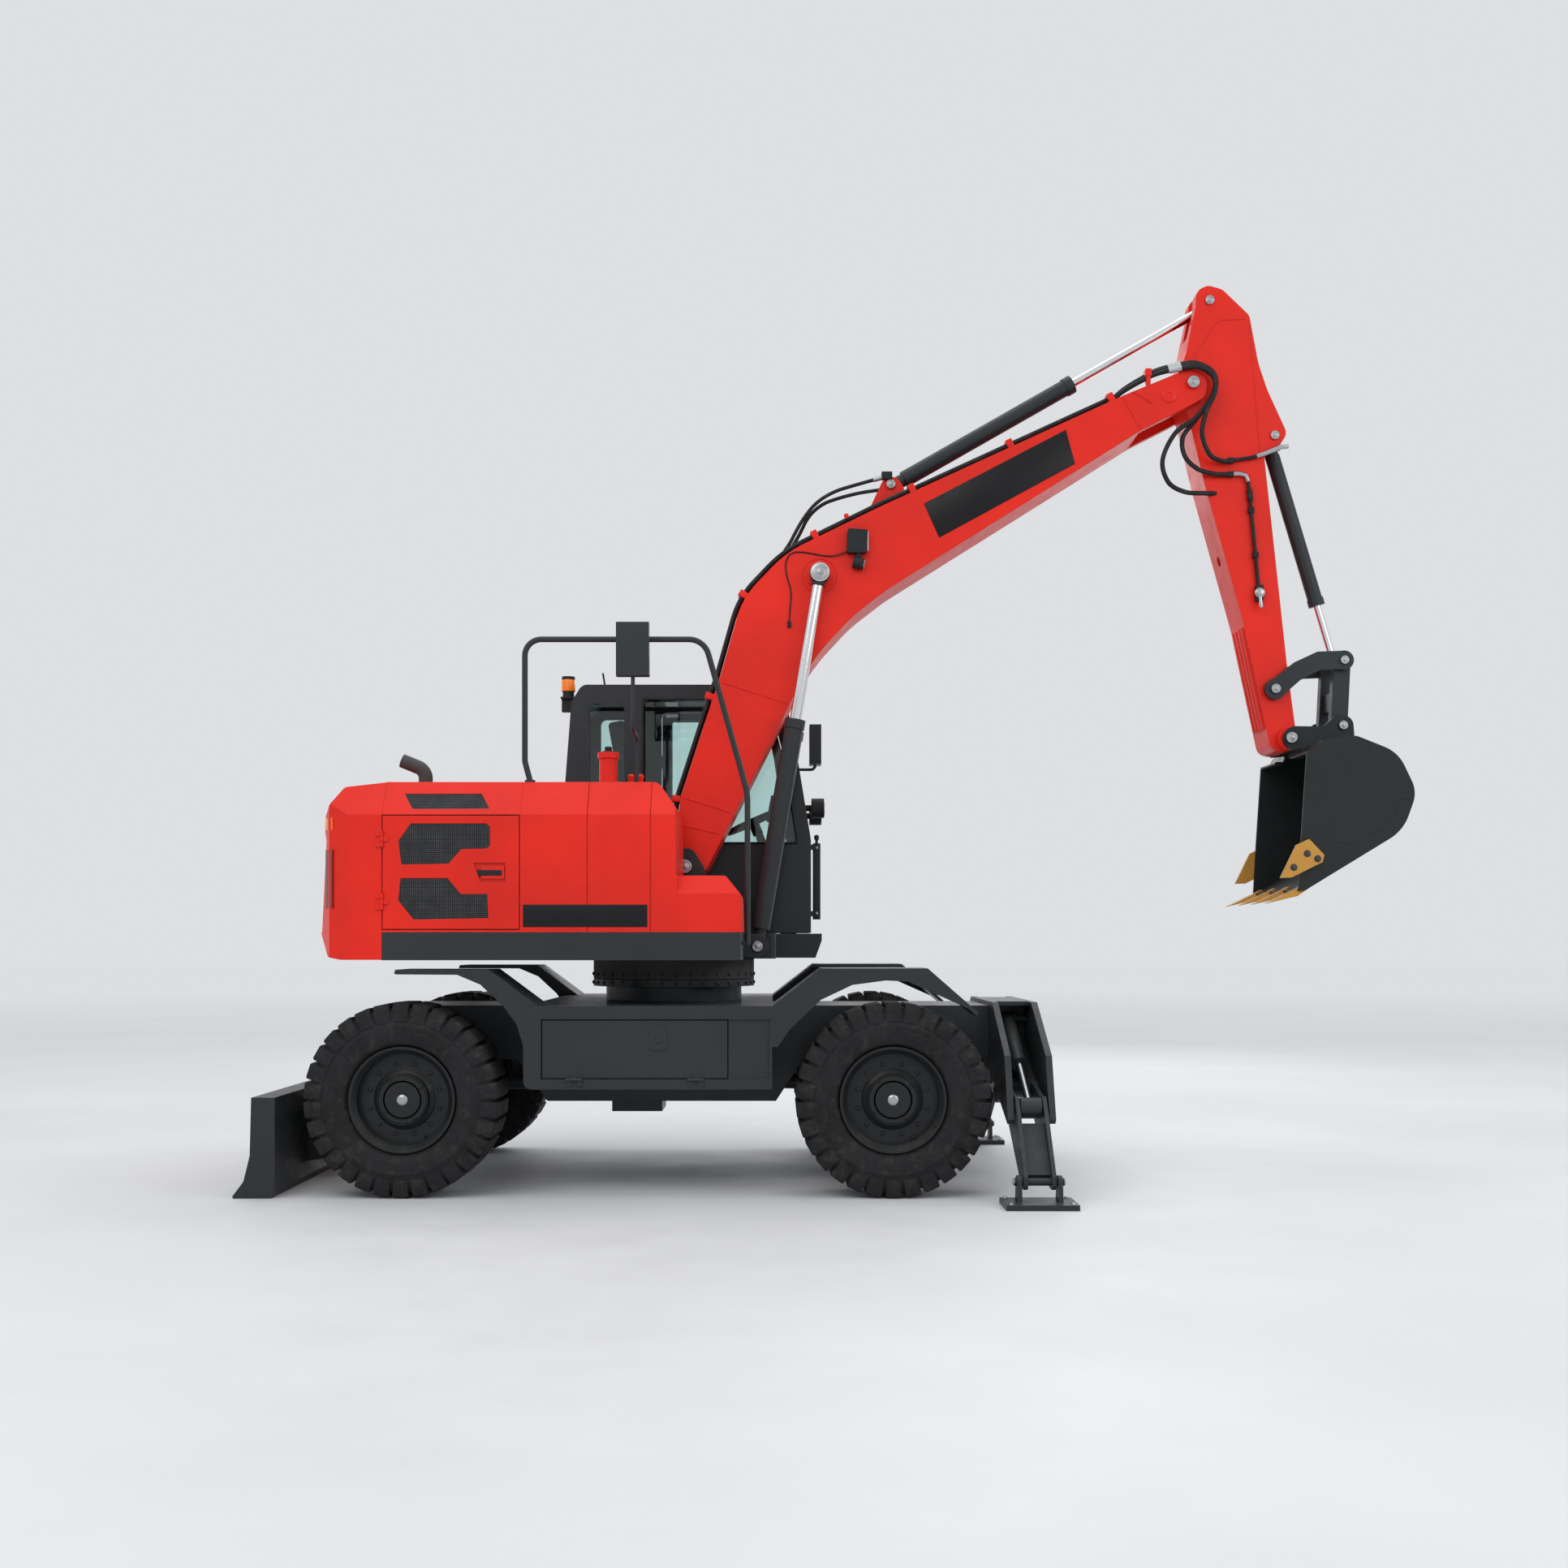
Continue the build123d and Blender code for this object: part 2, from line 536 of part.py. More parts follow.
# Fender outlines at the outer edge
REAR_FENDER = [(-1444, FENDER_TOP - 7), (-937, FENDER_TOP - 7), (-672, DECK_TOP)]
REAR_ARCH = [(-751, DECK_TOP), (-751, 822), (-787, 941), (-861, 1042), (-984, 1156), (-1110, 1209)]
FRONT_FENDER = [(DECK_X[1], DECK_TOP), (863, FENDER_TOP), (1443, FENDER_TOP), (1715, 1006)]
FRONT_ARCH = [
    (1680, 1018), (1335, 1172), (1215, 1178), (1034, 1154), (863, 1073), (700, 919), (630, 818),
    (DECK_X[1], 818),
]
with BuildPart() as fenders:
    top = REAR_FENDER
    strip = top + [(x - 8, z - FENDER_T) for x, z in reversed(top)]
    for low, high in pair(FENDER_INNER_Y, DECK_HALF_W):
        plate_y(sharp(strip), low, high)
    for low, high in pair(DECK_HALF_W - BOX_WALL, DECK_HALF_W):
        plate_y(sharp(top + REAR_ARCH + [(-1444, FENDER_TOP - 33)]), low, high)
    top = FRONT_FENDER
    strip = top + [(x - 4, z - FENDER_T) for x, z in reversed(top)]
    for low, high in pair(FENDER_INNER_Y, DECK_HALF_W):
        plate_y(sharp(strip), low, high)
    for low, high in pair(DECK_HALF_W - BOX_WALL, DECK_HALF_W):
        plate_y(sharp(top + FRONT_ARCH), low, high)
    block(DECK_X, (-DECK_HALF_W, DECK_HALF_W), (BOX_BOTTOM, DECK_TOP), Mode.SUBTRACT)
save(fenders.part, "fenders")

# Stabiliser housing: outline of its plates as (distance from the centre plane, z)
STAB_ROWS = [
    (0, 1040),
    (560, 1040),
    (1120, 765),
    (1270, 430),
    (1240, 405),
    (900, 505),
    (740, 475),
    (640, 480),
    (430, 640),
    (0, 640),
]
STAB_CHAMBER = [
    (170, 1015), (555, 1015), (1105, 748), (1240, 440), (900, 530), (620, 600), (440, 665), (170, 800),
]
STAB_OPENING = [(420, 1000), (420, 1060), (1600, 1060), (1600, 300), (620, 300), (620, 640)]
STAB_FLANGE = 35.0
with BuildPart() as stabiliser_housing:
    full = STAB_ROWS + [(-y, z) for y, z in reversed(STAB_ROWS[1:-1])]
    plate_x(sharp(full), STAB_X[0], STAB_X[1])
    for side in (1, -1):
        chamber = [(side * y, z) for y, z in STAB_CHAMBER]
        plate_x(sharp(chamber), STAB_X[0] + STAB_PLATE, STAB_X[1] - STAB_PLATE, Mode.SUBTRACT)
        opening = [(side * y, z) for y, z in STAB_OPENING]
        plate_x(sharp(opening), STAB_X[0] + STAB_FLANGE, STAB_X[1] - STAB_FLANGE, Mode.SUBTRACT)
        pin_y = side * LEG_PIVOT[0]
        bar((STAB_X[0] - 12, pin_y, LEG_PIVOT[1]), (STAB_X[1] + 12, pin_y, LEG_PIVOT[1]), 32)
        pin_y = side * LEG_CYL_TOP[0]
        bar((STAB_X[0], pin_y, LEG_CYL_TOP[1]), (STAB_X[1], pin_y, LEG_CYL_TOP[1]), 22)
save(stabiliser_housing.part, "stabiliser_housing")

# Leg of the right side; distances from the centre plane run towards -Y.
LEG_PLATE = 22.0
LEG_WEB = [(1225, 395), (1262, 410), (1505, 165), (1480, 120)]
with BuildPart() as leg:
    outline = [
        (-(LEG_PIVOT[0] - 30), LEG_PIVOT[1] + 54, 30),
        (-(LEG_PIVOT[0] - 48), LEG_PIVOT[1] - 40, 40),
        (-(LEG_PIVOT[0] + 20), LEG_PIVOT[1] - 62, 30),
        (-(FOOT_PIN[0] - 55), FOOT_PIN[1] - 40, 30),
        (-(FOOT_PIN[0] + 40), FOOT_PIN[1] - 40, 30),
        (-(FOOT_PIN[0] + 45), FOOT_PIN[1] + 30, 30),
        (-(LEG_EYE[0] + 62), LEG_EYE[1] + 10, 40),
        (-(LEG_EYE[0] + 10), LEG_EYE[1] + 65, 30),
        (-(LEG_EYE[0] - 60), LEG_EYE[1] + 58, 40),
    ]
    for x in (LEG_X - LEG_HALF_W, LEG_X + LEG_HALF_W - LEG_PLATE):
        plate_x(outline, x, x + LEG_PLATE)
    plate_x(sharp([(-y, z) for y, z in LEG_WEB]), LEG_X - LEG_HALF_W, LEG_X + LEG_HALF_W)
    bar(
        (LEG_X - LEG_HALF_W, -LEG_PIVOT[0], LEG_PIVOT[1]),
        (LEG_X + LEG_HALF_W, -LEG_PIVOT[0], LEG_PIVOT[1]), 52,
    )
    for side in (-1, 1):
        near, far = LEG_X + side * (LEG_HALF_W - LEG_PLATE + 1), LEG_X + side * (LEG_HALF_W + 4)
        bar((near, -LEG_EYE[0], LEG_EYE[1]), (far, -LEG_EYE[0], LEG_EYE[1]), 28)
    bar(
        (LEG_X - LEG_HALF_W - 46, -FOOT_PIN[0], FOOT_PIN[1]),
        (LEG_X + LEG_HALF_W + 46, -FOOT_PIN[0], FOOT_PIN[1]), 20,
    )
    bar(
        (LEG_X - LEG_HALF_W, -LEG_PIVOT[0], LEG_PIVOT[1]),
        (LEG_X + LEG_HALF_W, -LEG_PIVOT[0], LEG_PIVOT[1]),
        32 + RUN_FIT,
        Mode.SUBTRACT,
    )
save(leg.part, "leg_right")
save(mirror(leg.part, about=Plane.XZ), "leg_left")

with BuildPart() as pad:
    block(
        (LEG_X - PAD_SIZE[0] / 2, LEG_X + PAD_SIZE[0] / 2),
        (-FOOT_PIN[0] - PAD_SIZE[1] / 2, -FOOT_PIN[0] + PAD_SIZE[1] / 2),
        (0, PAD_SIZE[2]),
    )
    ear = [
        (-FOOT_PIN[0] - 60, 20, 0), (-FOOT_PIN[0] + 60, 20, 0), (-FOOT_PIN[0] + 34, FOOT_PIN[1] + 34, 30),
        (-FOOT_PIN[0] - 34, FOOT_PIN[1] + 34, 30),
    ]
    for x in (LEG_X - LEG_HALF_W - 34, LEG_X + LEG_HALF_W + 10):
        plate_x(ear, x, x + 24)
        bar(
            (x, -FOOT_PIN[0], FOOT_PIN[1]), (x + 24, -FOOT_PIN[0], FOOT_PIN[1]), 20 + RUN_FIT, Mode.SUBTRACT
        )
save(pad.part, "pad_right")
save(mirror(pad.part, about=Plane.XZ), "pad_left")

LEG_BARREL = 560.0
LEG_ROD = 580.0
LEG_FULL = math.dist(LEG_CYL_TOP, LEG_EYE)
with BuildPart() as leg_barrel:
    start, end = along(LEG_CYL_TOP, LEG_EYE, 20), along(LEG_CYL_TOP, LEG_EYE, LEG_BARREL)
    bar((LEG_X, -start[0], start[1]), (LEG_X, -end[0], end[1]), 44)
    bar((LEG_X - 50, -LEG_CYL_TOP[0], LEG_CYL_TOP[1]), (LEG_X + 50, -LEG_CYL_TOP[0], LEG_CYL_TOP[1]), 40)
    foot = along(LEG_CYL_TOP, LEG_EYE, 70)
    bar((LEG_X, -foot[0], foot[1]), (LEG_X, -end[0], end[1]), 25 + RUN_FIT, Mode.SUBTRACT)
    bar(
        (LEG_X - 50, -LEG_CYL_TOP[0], LEG_CYL_TOP[1]),
        (LEG_X + 50, -LEG_CYL_TOP[0], LEG_CYL_TOP[1]),
        22 + RUN_FIT,
        Mode.SUBTRACT,
    )
save(leg_barrel.part, "leg_barrel_right")
save(mirror(leg_barrel.part, about=Plane.XZ), "leg_barrel_left")

with BuildPart() as leg_rod:
    start = along(LEG_CYL_TOP, LEG_EYE, LEG_FULL - LEG_ROD)
    bar((LEG_X, -start[0], start[1]), (LEG_X, -LEG_EYE[0], LEG_EYE[1]), 25)
    bar((LEG_X - 56, -LEG_EYE[0], LEG_EYE[1]), (LEG_X + 56, -LEG_EYE[0], LEG_EYE[1]), 56)
save(leg_rod.part, "leg_rod_right")
save(mirror(leg_rod.part, about=Plane.XZ), "leg_rod_left")

# ---------------------------------------------------------------- blade

with BuildPart() as blade:
    face_rows = [
        (-2220, BLADE_TOP, 0),
        (-2228, 230, 60),
        (-2262, 90, 60),
        (-2321, 12, 0),
        (-2321, 0, 0),
        (-2112, 0, 0),
        (-2112, 30, 0),
        (BLADE_BACK_X - 40, 120, 30),
        (BLADE_BACK_X - 40, BLADE_TOP - 130, 30),
        (BLADE_BACK_X, BLADE_TOP - 90, 0),
        (BLADE_BACK_X, BLADE_TOP, 0),
    ]
    plate_y(face_rows, -BLADE_HALF_W, BLADE_HALF_W)
    end_rows = sharp(
        [
            (-2220, BLADE_TOP), (-2228, 230), (-2262, 90), (-2321, 12), (-2321, 0), (-2112, 0),
            (BLADE_BACK_X, 90), (BLADE_BACK_X, BLADE_TOP),
        ],
    )
    for low, high in pair(BLADE_HALF_W - 20, BLADE_HALF_W):
        plate_y(end_rows, low, high)
    for low, high in pair(336, 366):
        plate_y(
            sharp(
                [
                    (BLADE_BACK_X - 60, 430), (BLADE_BACK_X - 60, 100), (-1980, 120), (-1640, 520),
                    (-1640, 610), (-1740, 610),
                ],
            ),
            low,
            high,
        )
    for low, high in pair(BLADE_CYL_Y - 68, BLADE_CYL_Y - 44):
        plate_y(
            [(BLADE_BACK_X - 60, 450, 0), (BLADE_BACK_X - 60, 250, 0), (-2000, 310, 30), (-2000, 390, 30)],
            low, high,
        )
    for low, high in pair(BLADE_CYL_Y + 44, BLADE_CYL_Y + 68):
        plate_y(
            [(BLADE_BACK_X - 60, 450, 0), (BLADE_BACK_X - 60, 250, 0), (-2000, 310, 30), (-2000, 390, 30)],
            low, high,
        )
    for low, high in pair(290, 380):
        cross_bar(BLADE_PIVOT, 36, low, high)
save(blade.part, "blade")

with BuildPart() as blade_barrels:
    for y in (-BLADE_CYL_Y, BLADE_CYL_Y):
        barrel_of(BLADE_CYL_TOP, BLADE_CYL_ROD, y, 44, 24, 400, 36, 40, 25)
save(blade_barrels.part, "blade_barrels")
with BuildPart() as blade_rods:
    for y in (-BLADE_CYL_Y, BLADE_CYL_Y):
        rod_of(BLADE_CYL_TOP, BLADE_CYL_ROD, y, 24, 440, 38, 38)
save(blade_rods.part, "blade_rods")

# ---------------------------------------------------------------- platform and body

NOSE_X = 620.0
NOSE_HALF_W = 228.0
CAB_FLOOR_X = 909.0
LUG_Y = ((228.0, 250.0), (334.0, 364.0))
with BuildPart() as platform:
    plan = [
        (WEIGHT_FRONT_X, -BODY_HALF_W, 0),
        (STEP_FRONT_X - 6, -BODY_HALF_W, 30),
        (STEP_FRONT_X - 6, -NOSE_HALF_W, 0),
        (NOSE_X, -NOSE_HALF_W, 30),
        (NOSE_X, NOSE_HALF_W, 30),
        (STEP_FRONT_X - 6, NOSE_HALF_W, 0),
        (STEP_FRONT_X - 6, LUG_Y[1][1], 0),
        (CAB_FLOOR_X, LUG_Y[1][1], 0),
        (CAB_FLOOR_X, BODY_HALF_W, 40),
        (WEIGHT_FRONT_X, BODY_HALF_W, 0),
    ]
    plate_z(plan, PLATFORM_BOTTOM, PLATFORM_TOP)
    wedge = sharp(
        [
            (CAB_FLOOR_X - 40, PLATFORM_BOTTOM - 1), (CAB_FLOOR_X + 1, PLATFORM_BOTTOM - 1),
            (CAB_FLOOR_X + 1, 1400),
        ],
    )
    plate_y(wedge, 0, BODY_HALF_W + 1, Mode.SUBTRACT)
    block((-1400, -560), (-1120, 1120), (PLATFORM_BOTTOM - 1, PLATFORM_TOP - 25), Mode.SUBTRACT)
    block((520, CAB_FLOOR_X - 60), (400, 1120), (PLATFORM_BOTTOM - 1, PLATFORM_TOP - 25), Mode.SUBTRACT)
    for low, high in pair(BOOM_HALF_W + 8, BOOM_HALF_W + 46):
        plate_y(
            [
                (-260, PLATFORM_TOP - 5, 0), (300, PLATFORM_TOP - 5, 0), (190, 1835, 60), (120, 1950, 60),
                (-10, 1930, 60),
            ],
            low,
            high,
        )
    for span in LUG_Y:
        for low, high in pair(*span):
            plate_y(
                [(425, 1300, 0), (540, 1290, 60), (588, 1361, 55), (540, 1432, 60), (425, 1440, 0)], low,
                high,
            )
    for x in (-600, 700):
        for y in (CAB_Y[0] + 90, CAB_Y[1] - 90):
            block((x - 50, x + 50), (y - 50, y + 50), (PLATFORM_TOP - 1, CAB_FLOOR))
    cross_bar(BOOM_FOOT, 45, -BOOM_HALF_W - 66, BOOM_HALF_W + 66)
    for low, high in pair(228, 374):
        cross_bar(BOOM_CYL_BASE, 35, low, high)
save(platform.part, "platform")

with BuildPart() as slew_ring:
    bar((0, 0, SLEW_JOINT_Z + 3), (0, 0, PLATFORM_BOTTOM), SLEW_R)
    bar((0, 0, SLEW_JOINT_Z + 3), (0, 0, PLATFORM_BOTTOM), SLEW_BORE, Mode.SUBTRACT)
save(slew_ring.part, "slew_ring")

SIDE_AXIS = (WEIGHT_FRONT_X + 2.5, -BODY_HALF_W - 10)
SIDE_HINGE_Z = (1560.0, 1900.0)
with BuildPart() as counterweight:
    profile = [
        (WEIGHT_FRONT_X, BODY_TOP - 2, 0),
        (-1740, BODY_TOP - 30, 30),
        (-1846, 2074, 20),
        (-1852, 1990, 10),
        (-1838, 1938, 10),
        (TAIL_X, 1452, 20),
        (TAIL_X - 8, 1430, 10),
        (-1824, 1305, 30),
        (-1740, 1290, 20),
        (WEIGHT_FRONT_X, 1290, 0),
    ]
    plate_y(profile, -BODY_HALF_W, BODY_HALF_W)
    for side in (1, -1):
        corner = [
            (TAIL_X - 40, side * (BODY_HALF_W + 20)), (-1700, side * (BODY_HALF_W + 20)),
            (-1700, side * BODY_HALF_W), (-1810, side * (BODY_HALF_W - 50)),
            (TAIL_X - 10, side * (BODY_HALF_W - 220)), (TAIL_X - 40, side * (BODY_HALF_W - 220)),
        ]
        plate_z(sharp(corner), 1200, 2300, Mode.SUBTRACT)
        chamfer_rows = sharp(
            [
                (side * (BODY_HALF_W + 1), SHOULDER_Z), (side * TOP_HALF_W, BODY_TOP + 1),
                (side * (BODY_HALF_W + 1), BODY_TOP + 1),
            ],
        )
        plate_x(chamfer_rows, TAIL_X - 40, WEIGHT_FRONT_X, Mode.SUBTRACT)
    block((-1700, WEIGHT_FRONT_X + 1), (-980, 980), (1500, 2100), Mode.SUBTRACT)
    for side in (1, -1):
        for z in SIDE_HINGE_Z:
            hinge_fixed((SIDE_AXIS[0], side * SIDE_AXIS[1], z), (0, 0, 1))
            for low, high in HINGE_ENDS:
                face_y, knuckle_y = side * -BODY_HALF_W, side * (-BODY_HALF_W - 7)
                block(
                    (SIDE_AXIS[0] - 36, SIDE_AXIS[0]), (min(face_y, knuckle_y), max(face_y, knuckle_y)),
                    (z + low, z + high),
                )
save(counterweight.part, "counterweight")

BAY_X = (WEIGHT_FRONT_X, BAY_FRONT_X)
LID_X = (-1300.0, -800.0)
LID_HALF_W = 940.0
LID_AXIS = (-786.0, BODY_TOP + 24)
LID_HINGE_Y = (-645.0, 555.0)
with BuildPart() as hood:
    section = [
        (-BODY_HALF_W, SHOULDER_Z), (-TOP_HALF_W, BODY_TOP), (TOP_HALF_W, BODY_TOP),
        (BODY_HALF_W, SHOULDER_Z),
    ]
    inner = [
        (BODY_HALF_W - DOOR_T, SHOULDER_Z), (TOP_HALF_W - 25, BODY_TOP - BODY_WALL),
        (-TOP_HALF_W + 25, BODY_TOP - BODY_WALL), (-BODY_HALF_W + DOOR_T, SHOULDER_Z),
    ]
    plate_x(sharp(section + inner), BAY_X[0], BAY_X[1])
    wall_half = BODY_HALF_W - DOOR_SKIN - SEAM
    half_wall = [
        (wall_half, PLATFORM_TOP), (wall_half, SHOULDER_Z - 1), (BODY_HALF_W, SHOULDER_Z),
        (TOP_HALF_W, BODY_TOP),
    ]
    wall = half_wall + [(-y, z) for y, z in reversed(half_wall)]
    plate_x(sharp(wall), BAY_X[1] - 20, BAY_X[1])
    plate_x(sharp(wall), BAY_X[0], BAY_X[0] + 20)
    block((BAY_X[0] - 1, BAY_X[0] + 21), (-980, 980), (1500, 2100), Mode.SUBTRACT)
    block(LID_X, (-LID_HALF_W, LID_HALF_W), (BODY_TOP - 40, BODY_TOP + 1), Mode.SUBTRACT)
    for low, high in pair(BODY_HALF_W - DOOR_T, BODY_HALF_W):
        block((BAY_X[0], BAY_X[1]), (low, high), (PLATFORM_TOP, PLATFORM_TOP + 12))
    for y in LID_HINGE_Y:
        hinge_fixed((LID_AXIS[0], y, LID_AXIS[1]), (0, 1, 0))
        for low, high in HINGE_ENDS:
            block((LID_AXIS[0] - 4, LID_AXIS[0] + 20), (y + low, y + high), (BODY_TOP - 1, LID_AXIS[1]))

with BuildPart() as lid:
    block(
        (LID_X[0] + SEAM, LID_X[1] - SEAM), (-LID_HALF_W + SEAM, LID_HALF_W - SEAM),
        (BODY_TOP - BODY_WALL, BODY_TOP + 12),
    )
    handle_x = LID_X[0] + 60
    handle = [
        (handle_x, -60, BODY_TOP + 10), (handle_x, -60, BODY_TOP + 40), (handle_x, 60, BODY_TOP + 40),
        (handle_x, 60, BODY_TOP + 10),
    ]
    tube(handle, 14, 8)
    for y in LID_HINGE_Y:
        low, high = (y + distance for distance in HINGE_MIDDLE)
        block((LID_X[1] - SEAM - 30, LID_AXIS[0]), (low, high), (BODY_TOP + 16, BODY_TOP + 22))
        block((LID_X[1] - SEAM - 30, LID_X[1] - SEAM), (low, high), (BODY_TOP + 11, BODY_TOP + 22))
        hinge_moving((LID_AXIS[0], y, LID_AXIS[1]), (0, 1, 0))
save(lid.part, "hood_lid")

# Grille outlines: side doors (x, z); shoulder (x, distance up its slope).
DOOR_GRILLES = (
    [
        (-1356, 2028), (-946, 2028), (-928, 2010), (-928, 1907), (-946, 1893),
        (-1082, 1890), (-1152, 1811), (-1407, 1806), (-1423, 1934),
    ],
    [(-1411, 1732), (-1157, 1732), (-1086, 1646), (-942, 1646), (-937, 1517), (-1341, 1508), (-1424, 1611)],
)
SHOULDER_GRILLE = [(-1407, 150), (-986, 150), (-935, 42), (-1350, 40)]
GRILLE_DEPTH = 4.0
SLOT_DEPTH = 11.0
SLOT_PITCH = 26.0
SLOT_W = 16.0


def grille_cut(plane, corners):
    """What a grille takes away under a face: its sunk outline, and slots under that."""
    low, high = min(second for first, second in corners), max(second for first, second in corners)
    left, right = min(first for first, second in corners), max(first for first, second in corners)
    with BuildPart() as slots:
        extrude(area(plane, sharp(corners)), amount=-SLOT_DEPTH)
        count = int((high - low) / SLOT_PITCH) + 1
        for row in range(count + 1):
            start = low + row * SLOT_PITCH - (SLOT_PITCH - SLOT_W)
            rib = sharp(
                [
                    (left - 5, start), (right + 5, start), (right + 5, start + SLOT_PITCH - SLOT_W),
                    (left - 5, start + SLOT_PITCH - SLOT_W),
                ],
            )
            extrude(area(plane, rib), amount=-SLOT_DEPTH - 1, mode=Mode.SUBTRACT)
        extrude(area(plane, sharp(corners)), amount=-GRILLE_DEPTH)
    return slots.part


SIDE_DOOR_X = (BAY_X[0] + SEAM, BAY_X[1] - SEAM)
SIDE_DOOR_Z = (PLATFORM_TOP + 12 + SEAM, SHOULDER_Z - SEAM)
LATCH = [(-1016, 1815), (-845, 1815), (-845, 1710), (-980, 1710)]
SHOULDER_SLOPE = Vector(0, BODY_HALF_W - TOP_HALF_W, BODY_TOP - SHOULDER_Z).normalized()
SHOULDER_PLANE = Plane(
    origin=(0, -BODY_HALF_W, SHOULDER_Z), x_dir=(1, 0, 0), z_dir=(0, -SHOULDER_SLOPE.Z, SHOULDER_SLOPE.Y)
)
shoulder_grille = grille_cut(SHOULDER_PLANE, SHOULDER_GRILLE)
hood.part = hood.part - shoulder_grille - mirror(shoulder_grille, about=Plane.XZ)
save(hood.part, "engine_hood")

with BuildPart() as side_door:
    block((SIDE_DOOR_X[0] + 25, SIDE_DOOR_X[1] - 25), (-BODY_HALF_W, -BODY_HALF_W + DOOR_T), SIDE_DOOR_Z)
    block(SIDE_DOOR_X, (-BODY_HALF_W, -BODY_HALF_W + DOOR_SKIN), SIDE_DOOR_Z)
    plate_y(sharp(LATCH), -BODY_HALF_W - 1, -BODY_HALF_W + 12, Mode.SUBTRACT)
    for corners in DOOR_GRILLES:
        add(grille_cut(Plane.XZ.offset(BODY_HALF_W), corners), mode=Mode.SUBTRACT)
    block((-975, -850), (-BODY_HALF_W + 2, -BODY_HALF_W + 14), (1728, 1800))
    for z in SIDE_HINGE_Z:
        low, high = (z + distance for distance in HINGE_MIDDLE)
        block((SIDE_AXIS[0], SIDE_AXIS[0] + 36), (-BODY_HALF_W - 7, -BODY_HALF_W), (low, high))
        hinge_moving((*SIDE_AXIS, z), (0, 0, 1))
save(side_door.part, "side_door_right")
save(mirror(side_door.part, about=Plane.XZ), "side_door_left")

with BuildPart() as engine:
    block((-1380, -880), (-520, 620), (PLATFORM_TOP, 2100))
save(engine.part, "engine_block")

TANK_SEAM_X = (-402.0, -60.0)
SEAM_CUT = 5.0
with BuildPart() as tank_seams:
    for x in TANK_SEAM_X:
        seam_x = (x - SEAM_CUT / 2, x + SEAM_CUT / 2)
        block(seam_x, (-BODY_HALF_W - 1, -TANK_INNER_Y), (PLATFORM_TOP, BODY_TOP + 1))
    under_seams = [
        (-TANK_INNER_Y + 1, PLATFORM_TOP - 1), (-BODY_HALF_W + SEAM_CUT, PLATFORM_TOP - 1),
        (-BODY_HALF_W + SEAM_CUT, SHOULDER_Z - 3), (-TOP_HALF_W + 2, BODY_TOP - SEAM_CUT),
        (-TANK_INNER_Y + 1, BODY_TOP - SEAM_CUT),
    ]
    plate_x(sharp(under_seams), TANK_SEAM_X[0] - SEAM_CUT, TANK_SEAM_X[1] + SEAM_CUT, Mode.SUBTRACT)

with BuildPart() as tank_cover:
    profile = [
        (BAY_FRONT_X, PLATFORM_TOP, 0),
        (BAY_FRONT_X, BODY_TOP, 0),
        (-25, BODY_TOP, 60),
        (TANK_FRONT_X - 3, BODY_TOP - 150, 50),
        (TANK_FRONT_X, STEP_Z, 0),
        (345, STEP_Z, 25),
        (430, STEP_Z - 105, 25),
        (STEP_FRONT_X, PLATFORM_TOP, 0),
    ]
    plate_y(profile, -BODY_HALF_W, -TANK_INNER_Y)
    edge = [(-BODY_HALF_W - 1, SHOULDER_Z), (-TOP_HALF_W, BODY_TOP + 1), (-BODY_HALF_W - 1, BODY_TOP + 1)]
    plate_x(sharp(edge), BAY_FRONT_X - 1, TANK_FRONT_X + 10, Mode.SUBTRACT)
    low_edge = [
        (-BODY_HALF_W - 1, STEP_Z - 100), (-BODY_HALF_W + 70, STEP_Z + 1), (-BODY_HALF_W - 1, STEP_Z + 1),
    ]
    plate_x(sharp(low_edge), TANK_FRONT_X + 8, STEP_FRONT_X + 10, Mode.SUBTRACT)
    hollow_y = (-BODY_HALF_W + 80, -TANK_INNER_Y - 30)
    block(
        (BAY_FRONT_X + 25, TANK_FRONT_X - 60), hollow_y, (PLATFORM_TOP - 1, BODY_TOP - 110), Mode.SUBTRACT
    )
    block((TANK_FRONT_X - 61, 330), hollow_y, (PLATFORM_TOP - 1, STEP_Z - 40), Mode.SUBTRACT)
    add(tank_seams.part, mode=Mode.SUBTRACT)
    bar((-335, -700, BODY_TOP - 5), (-335, -700, 2440), 52)
    bar((-335, -700, 2430), (-335, -700, 2466), 62)
save(tank_cover.part, "tank_cover")

with BuildPart() as exhaust:
    with BuildLine() as pipe_line:
        FilletPolyline(
            (-1395, -600, BODY_TOP), (-1395, -600, BODY_TOP + 110), (-1530, -600, BODY_TOP + 165), radius=70
        )
    pipe_path = pipe_line.line
    with BuildSketch(Plane(origin=pipe_path @ 0, z_dir=pipe_path % 0)):
        Circle(40)
        Circle(36, mode=Mode.SUBTRACT)
    sweep(path=pipe_path)
save(exhaust.part, "exhaust")

